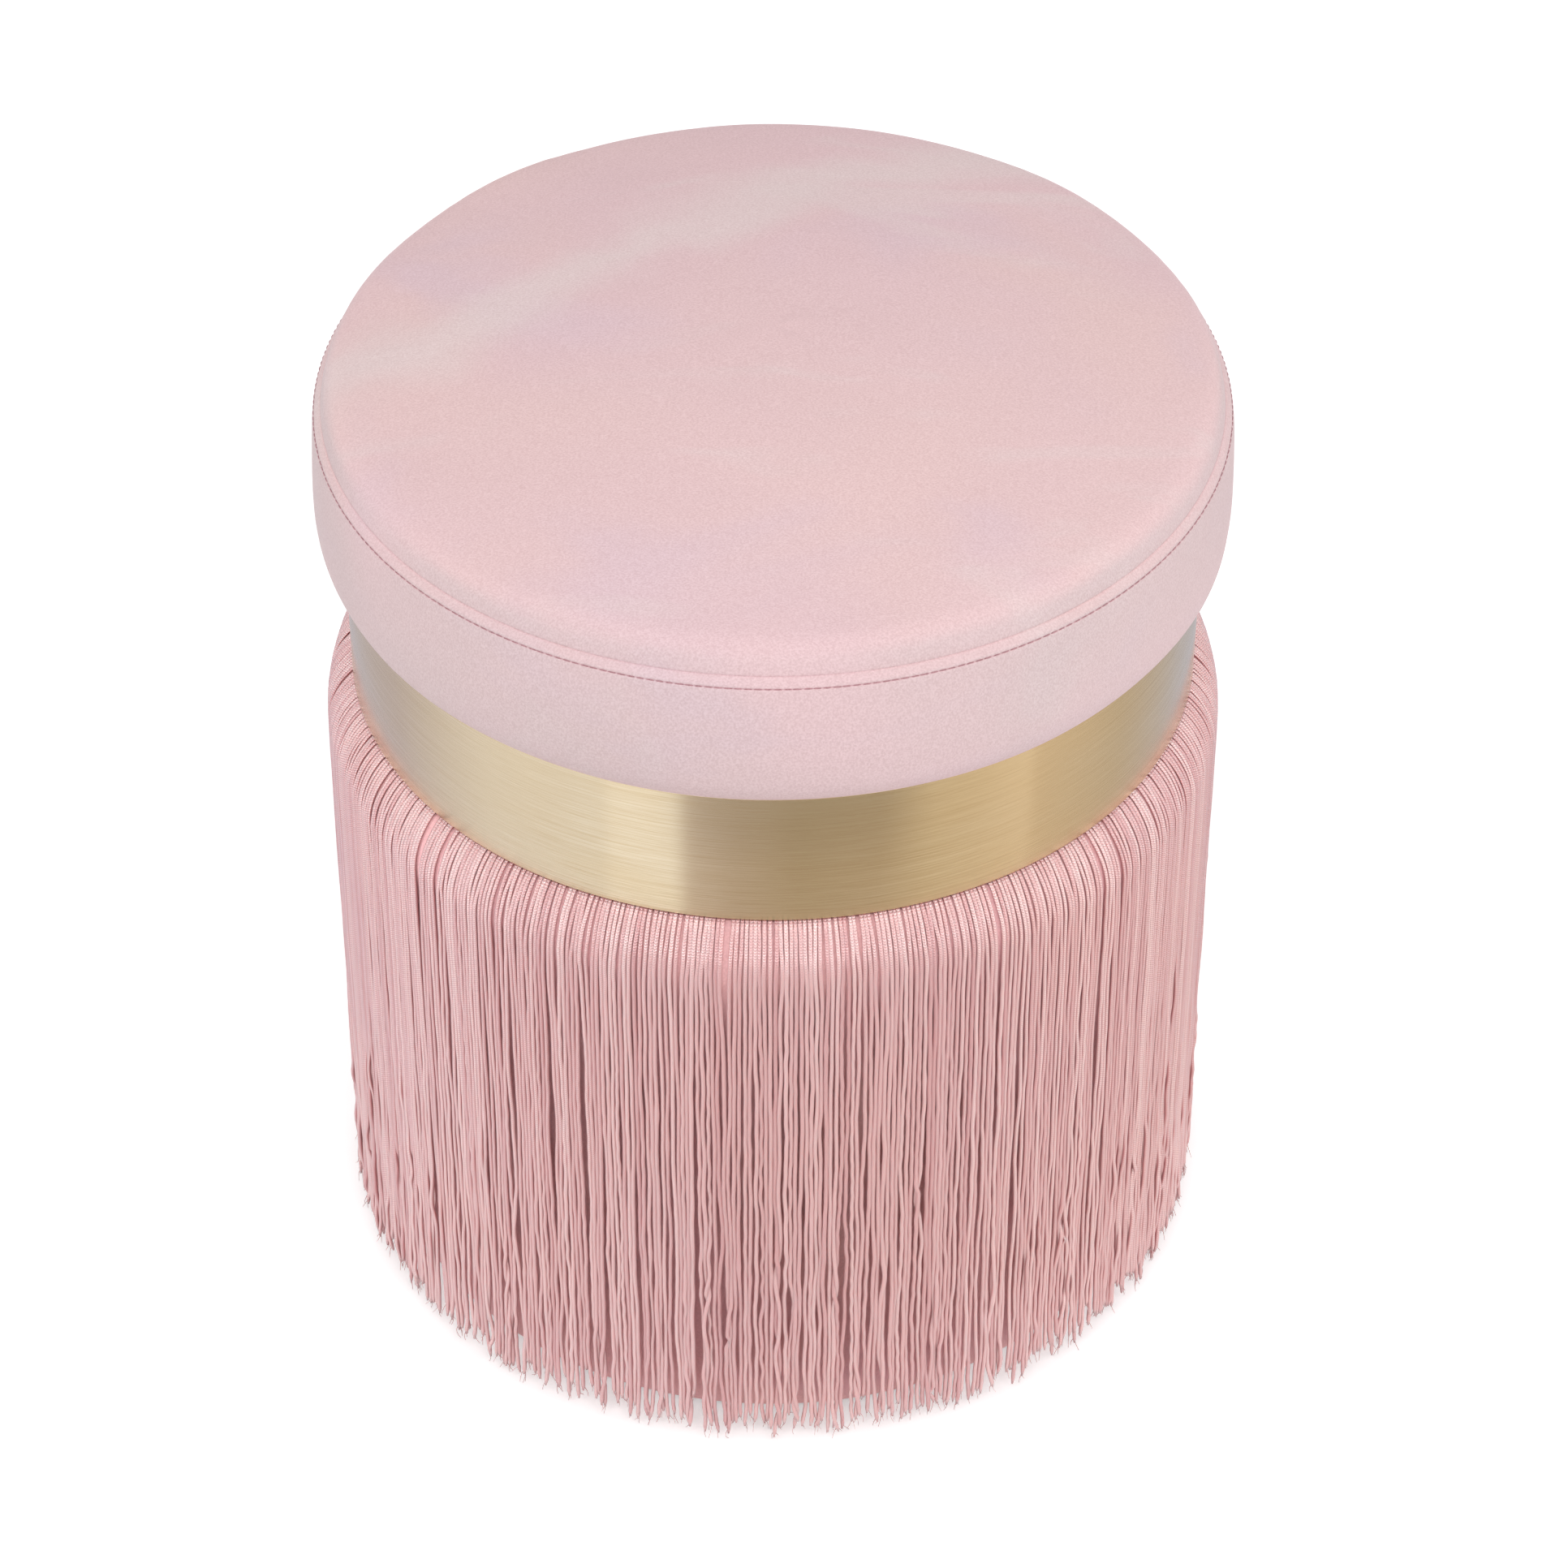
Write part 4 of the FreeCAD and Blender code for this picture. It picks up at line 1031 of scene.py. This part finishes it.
def crimp(random, place_at, depth, fall, run):
    """Give each cord its fine waves."""
    for size, low, high in ((0.08, 17, 30), (0.07, 9, 16)):
        pitch, phase = phases(random, low, high)
        reach = size * spirit(random)
        reach = reach * np.clip(0.35 + 1.1 * fall, 0, 1.3)
        wander = 1.2 * np.sin(TURN * run / 61 + phase * 3)
        place_at += reach * np.sin(TURN * run / pitch + phase + wander)
        depth += 0.5 * fall * reach * np.cos(TURN * run / pitch + phase * 2)


def cord_thickness(random, fall, above_tip):
    """Radius of each ring: cords differ, some have a slub, and all end in a blunt point."""
    count, rings = fall.shape
    thickness = CORD_RADIUS * random.normal(1.0, 0.045, count)[:, None] * np.ones((1, rings))
    slub = random.random(count) < 0.16
    slub_at = random.uniform(0.15, 0.98, count)[:, None]
    slub_long = random.uniform(0.006, 0.016, count)[:, None]
    swell = hump(fall - slub_at, slub_long) * random.uniform(0.15, 0.4, count)[:, None]
    thickness *= 1 + swell * slub[:, None]
    thin = random.uniform(1.2, 4.0, count)[:, None]
    thickness *= 0.45 + 0.55 * np.sqrt(np.clip(above_tip / thin, 0, 1))
    return thickness


def loose_fibres(random, centres):
    """Fine fibres at the tips: the cord that each belongs to, its path and its radii."""
    owner = np.repeat(np.arange(CORD_COUNT), 3)
    owner = owner[random.random(len(owner)) < 0.5]
    steps = np.linspace(0, 1, 6)
    start = centres[owner, -2]
    long = random.uniform(3.0, 7.5, len(owner))
    long = np.minimum(long, np.clip(start[:, 2] - 1.0, 0.5, None))
    aside = random.normal(0, 1.3, (len(owner), 3)) * (1, 1, 0.1)
    curl = random.normal(0, 0.5, (len(owner), 3)) * (1, 1, 0)
    fibre = (
        start[:, None, :]
        + steps[None, :, None] ** 1.5 * aside[:, None, :]
        + np.sin(steps * 3.0)[None, :, None] * curl[:, None, :]
    )
    fibre[:, :, 2] -= steps[None, :] * long[:, None]
    fibre[:, :, 2] = np.maximum(fibre[:, :, 2], 0.6)
    return owner, fibre, np.broadcast_to(0.22 - 0.1 * steps, fibre.shape[:2])


def lay_map(mesh, around, run_of):
    """UV map of a sector: how far round its cord and how far along it each corner is."""
    corners = np.zeros(len(mesh.loops), np.int32)
    mesh.loops.foreach_get("vertex_index", corners)
    flat = np.column_stack([around[corners], run_of[corners]])
    starts = np.zeros(len(mesh.polygons), np.int32)
    totals = np.zeros(len(mesh.polygons), np.int32)
    mesh.polygons.foreach_get("loop_start", starts)
    mesh.polygons.foreach_get("loop_total", totals)

    # A face across the join of its tube counts on instead of going back to 0
    block = starts[totals == 4][:, None] + np.arange(4)[None, :]
    values = flat[block, 0]
    wraps = (values.max(axis=1) - values.min(axis=1) > 0.5)[:, None] & (values < 0.5)
    flat[block[wraps], 0] += 1.0
    layer = mesh.uv_layers.new(name="cord")
    layer.data.foreach_set("uv", flat.astype(np.float32).reshape(-1))


def side_shares(sides, repeats):
    """How far round its tube each point is, for tubes of a number of sides."""
    return np.tile((np.arange(sides) + 0.5) / sides, repeats)


def make_fringe():
    """Chain-stitched cords: even at the heading, gathered into groups and ragged at the tips."""
    random = np.random.default_rng(2024)
    radius, level, tip, bent = cord_run(random)
    run = 282 - level
    fall = np.clip(run / 282, 0, 1)
    rings = level.shape[1]
    place_at, depth = cord_places(random, fall, run)
    place_at, depth = parted(place_at, depth, fall, bent)
    crimp(random, place_at, depth, fall, run)

    turn = place_at / hang_radius()
    reach = radius + depth
    centres = np.stack([reach * np.sin(turn), -reach * np.cos(turn), level], axis=-1)
    thickness = cord_thickness(random, fall, level - tip[:, None])
    outward = np.stack([np.sin(turn), -np.cos(turn), np.zeros_like(turn)], axis=-1)
    on_top = np.zeros_like(outward)
    on_top[..., 2] = 1.0
    lift = np.clip(1 - fall / 0.10, 0, 1)[..., None]
    normal = outward * (1 - lift) + on_top * lift

    # Cords are pressed flat where they are sewn, and round where they hang
    sewn_flat = np.clip(0.5 + 0.5 * (fall.mean(axis=0) - 0.04) / 0.10, 0.5, 1)
    tones = np.clip(random.normal(0.55, 0.3, CORD_COUNT), 0, 1)
    owner, fibre, fibre_radius = loose_fibres(random, centres)
    steps = fibre.shape[1]

    cords = []
    bounds = np.linspace(0, CORD_COUNT, SECTORS + 1).astype(int)
    for sector in range(SECTORS):
        chosen = np.arange(bounds[sector], bounds[sector + 1])
        wisp = np.isin(owner, chosen)
        fibres = wisp.sum()
        points, quads, caps = tubes(
            centres[chosen], thickness[chosen], CORD_SIDES, normal[chosen], sewn_flat
        )
        thin_normal = np.broadcast_to(outward[owner[wisp], -1][:, None, :], (fibres, steps, 3))
        more, more_quads, more_caps = tubes(
            fibre[wisp], fibre_radius[wisp], FIBRE_SIDES, thin_normal
        )
        faces = quads.tolist() + caps
        faces += (more_quads + len(points)).tolist()
        faces += [[corner + len(points) for corner in cap] for cap in more_caps]
        name = "fringe_cords_{:02d}".format(sector + 1)
        made = piece_from(name, np.vstack([points, more]) * MM, faces, YARN)
        mark(made, "tone", np.concatenate([
            np.repeat(tones[chosen], rings * CORD_SIDES),
            np.repeat(tones[owner[wisp]], steps * FIBRE_SIDES),
        ]))
        length = np.zeros((len(chosen), rings))
        length[:, 1:] = np.cumsum(
            np.linalg.norm(np.diff(centres[chosen], axis=1), axis=2), axis=1
        )
        run_of = np.concatenate([
            np.repeat(length.reshape(-1), CORD_SIDES),
            np.tile(np.repeat(np.linspace(0, 1, steps) * 6, FIBRE_SIDES), fibres),
        ])
        around = np.concatenate([
            side_shares(CORD_SIDES, len(chosen) * rings), side_shares(FIBRE_SIDES, fibres * steps)
        ])
        lay_map(made.data, around, run_of)
        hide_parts("fringe_cords")
        cords.append(made)
    return cords


# Camera and studio

def make_camera():
    """The photograph's view: from the front, 40.7 degrees down."""
    pitch = math.radians(40.678)
    data = bpy.data.cameras.new("camera")
    data.lens = 115.94
    data.sensor_width = 36.0
    data.shift_x = 0.00709
    data.shift_y = -0.01366
    data.clip_start = 0.05
    data.clip_end = 50.0
    camera = new_object("camera", data)
    camera.location = (0.0, -1.5720, 1.5661)
    camera.rotation_euler = (math.pi / 2 - pitch, 0.0, 0.0)
    scene.camera = camera


def studio_piece(name, points, faces, material):
    """A mesh of the studio, which is no part of the object."""
    mesh = new_mesh(name, points, faces)
    mesh.materials.append(material)
    return new_object(name, mesh)


def area_light(name, place_of, aim, size, power):
    """A rectangular lamp turned towards a height on the part's axis."""
    data = bpy.data.lights.new(name, "AREA")
    data.shape = "RECTANGLE"
    data.size, data.size_y = size
    data.energy = power
    lamp = new_object(name, data)
    lamp.location = place_of
    x, y, z = place_of
    lamp.rotation_euler = (math.atan2(math.hypot(x, y), z - aim), 0.0, math.atan2(x, -y))


def reflector_material():
    """Tones of the studio that the brass mirrors, by direction in degrees from the front."""
    stops = (
        (-180, (0.52, 0.52, 0.58)), (-104, (0.56, 0.54, 0.66)), (-70, (0.82, 0.83, 0.91)),
        (-39, (0.90, 0.90, 0.93)), (-37, (1.0, 1.0, 1.03)), (-22, (1.0, 1.0, 1.03)),
        (-19, (0.66, 0.60, 0.60)), (-8, (0.54, 0.47, 0.43)), (6, (0.48, 0.41, 0.33)),
        (24, (0.53, 0.45, 0.36)), (36, (0.67, 0.58, 0.46)), (61, (0.80, 0.69, 0.57)),
        (63, (0.69, 0.58, 0.46)), (90, (0.58, 0.52, 0.46)), (120, (0.54, 0.55, 0.66)),
        (180, (0.52, 0.52, 0.58)),
    )
    material, tree = bare_material("reflector")
    angle, _ = bearing(tree)
    turned = spread(angle, -math.pi, math.pi, 0.0, 1.0, False)
    ramp = add(tree, "ValToRGB", {"Fac": turned})
    ends = ramp.color_ramp.elements
    for stop, (degrees, colour) in enumerate(stops):
        at = (degrees + 180) / 360
        end = ends[0] if stop == 0 else ends[-1] if stop == len(stops) - 1 else ends.new(at)
        end.position = at
        end.color = (*colour, 1.0)

    # The outer part of the card is dimmer in front, where it shows high up in the band
    near, far, dimmer, full = 0.50, 0.60, 0.26, 1.08
    reach = add(tree, "VectorMath", {0: place(tree)}, operation="LENGTH").outputs["Value"]
    falling = spread(reach, near, far, 0.0, dimmer)
    aside = sums("ABSOLUTE", sums("SUBTRACT", angle, math.radians(5)))
    in_front = spread(aside, math.radians(18), math.radians(34), 1.0, 0.0)
    strength = sums("SUBTRACT", full, sums("MULTIPLY", falling, in_front))
    finish_with(add(tree, "Emission", {
        "Color": ramp.outputs["Color"], "Strength": strength,
    }))
    return material


def make_reflector():
    """Toned card on the floor round the part, which only the brass mirrors."""
    outline = np.array([(250.0, 1.0), (1500.0, 1.0), (1500.0, 0.5), (250.0, 0.5)])
    points, faces, _ = swept_ring(outline, 96)
    card = studio_piece("reflector", points.tolist(), faces, reflector_material())
    card.visible_camera = False
    card.visible_diffuse = False
    card.visible_shadow = False
    card.visible_transmission = False


def make_world():
    """White surroundings, which light things less than they are bright to the eye."""
    world = bpy.data.worlds.new("studio")
    scene.world = world
    world.use_nodes = True
    tree = world.node_tree
    sky = tree.nodes["Background"]
    sky.inputs["Color"].default_value = (1.0, 1.0, 1.0, 1.0)
    strength = spread(seen_directly(tree), 0.0, 1.0, WORLD_LIGHT, 1.0, False)
    feed(sky.inputs["Strength"], strength)


def make_floor():
    """Pale floor that keeps the part's shadow."""
    material, tree = bare_material("floor")
    matte = add(tree, "BsdfDiffuse", {"Color": (FLOOR_TONE, FLOOR_TONE, FLOOR_TONE, 1.0)})
    glow = add(tree, "Emission", {"Color": (1.0, 1.0, 1.0, 1.0)})
    feed(glow.inputs["Strength"], sums("MULTIPLY", seen_directly(tree), FLOOR_GLOW))
    finish_with(add(tree, "AddShader", {0: matte.outputs[0], 1: glow.outputs[0]}))
    half = 30.0
    corners = [(-half, -half, 0), (half, -half, 0), (half, half, 0), (-half, half, 0)]
    floor = studio_piece("floor", corners, [(0, 1, 2, 3)], material)


def make_studio():
    """Pale floor, white surroundings and large soft lamps."""
    make_world()
    make_floor()
    make_reflector()
    for name, place_of, aim, size, power in (
        ("key", (0.0, -1.8, 2.45), 0.3, (2.2, 0.4), 35.0),
        ("back", (0.0, 1.7, 2.1), 0.35, (1.2, 0.8), 7.0),
        ("left", (-2.4, -0.9, 0.9), 0.15, (1.5, 1.2), 18.0),
        ("right", (2.4, -0.9, 0.9), 0.15, (1.5, 1.2), 22.0),
    ):
        area_light(name, place_of, aim, size, power)


make_camera()
make_studio()
make_seat()
make_base_cloth()
tape = make_tape()
make_dust_cloth()
make_band()
fringe = make_fringe()

slots = {part["node"]: part["material_slot"] for part in frame["record"]["subparts"]}
for label, thing in frame["nodes"].items():
    finish = CAD_FINISHES[slots[label]]
    thing.data.materials.clear()
    thing.data.materials.append(finish)

scene.view_settings.view_transform = "Standard"
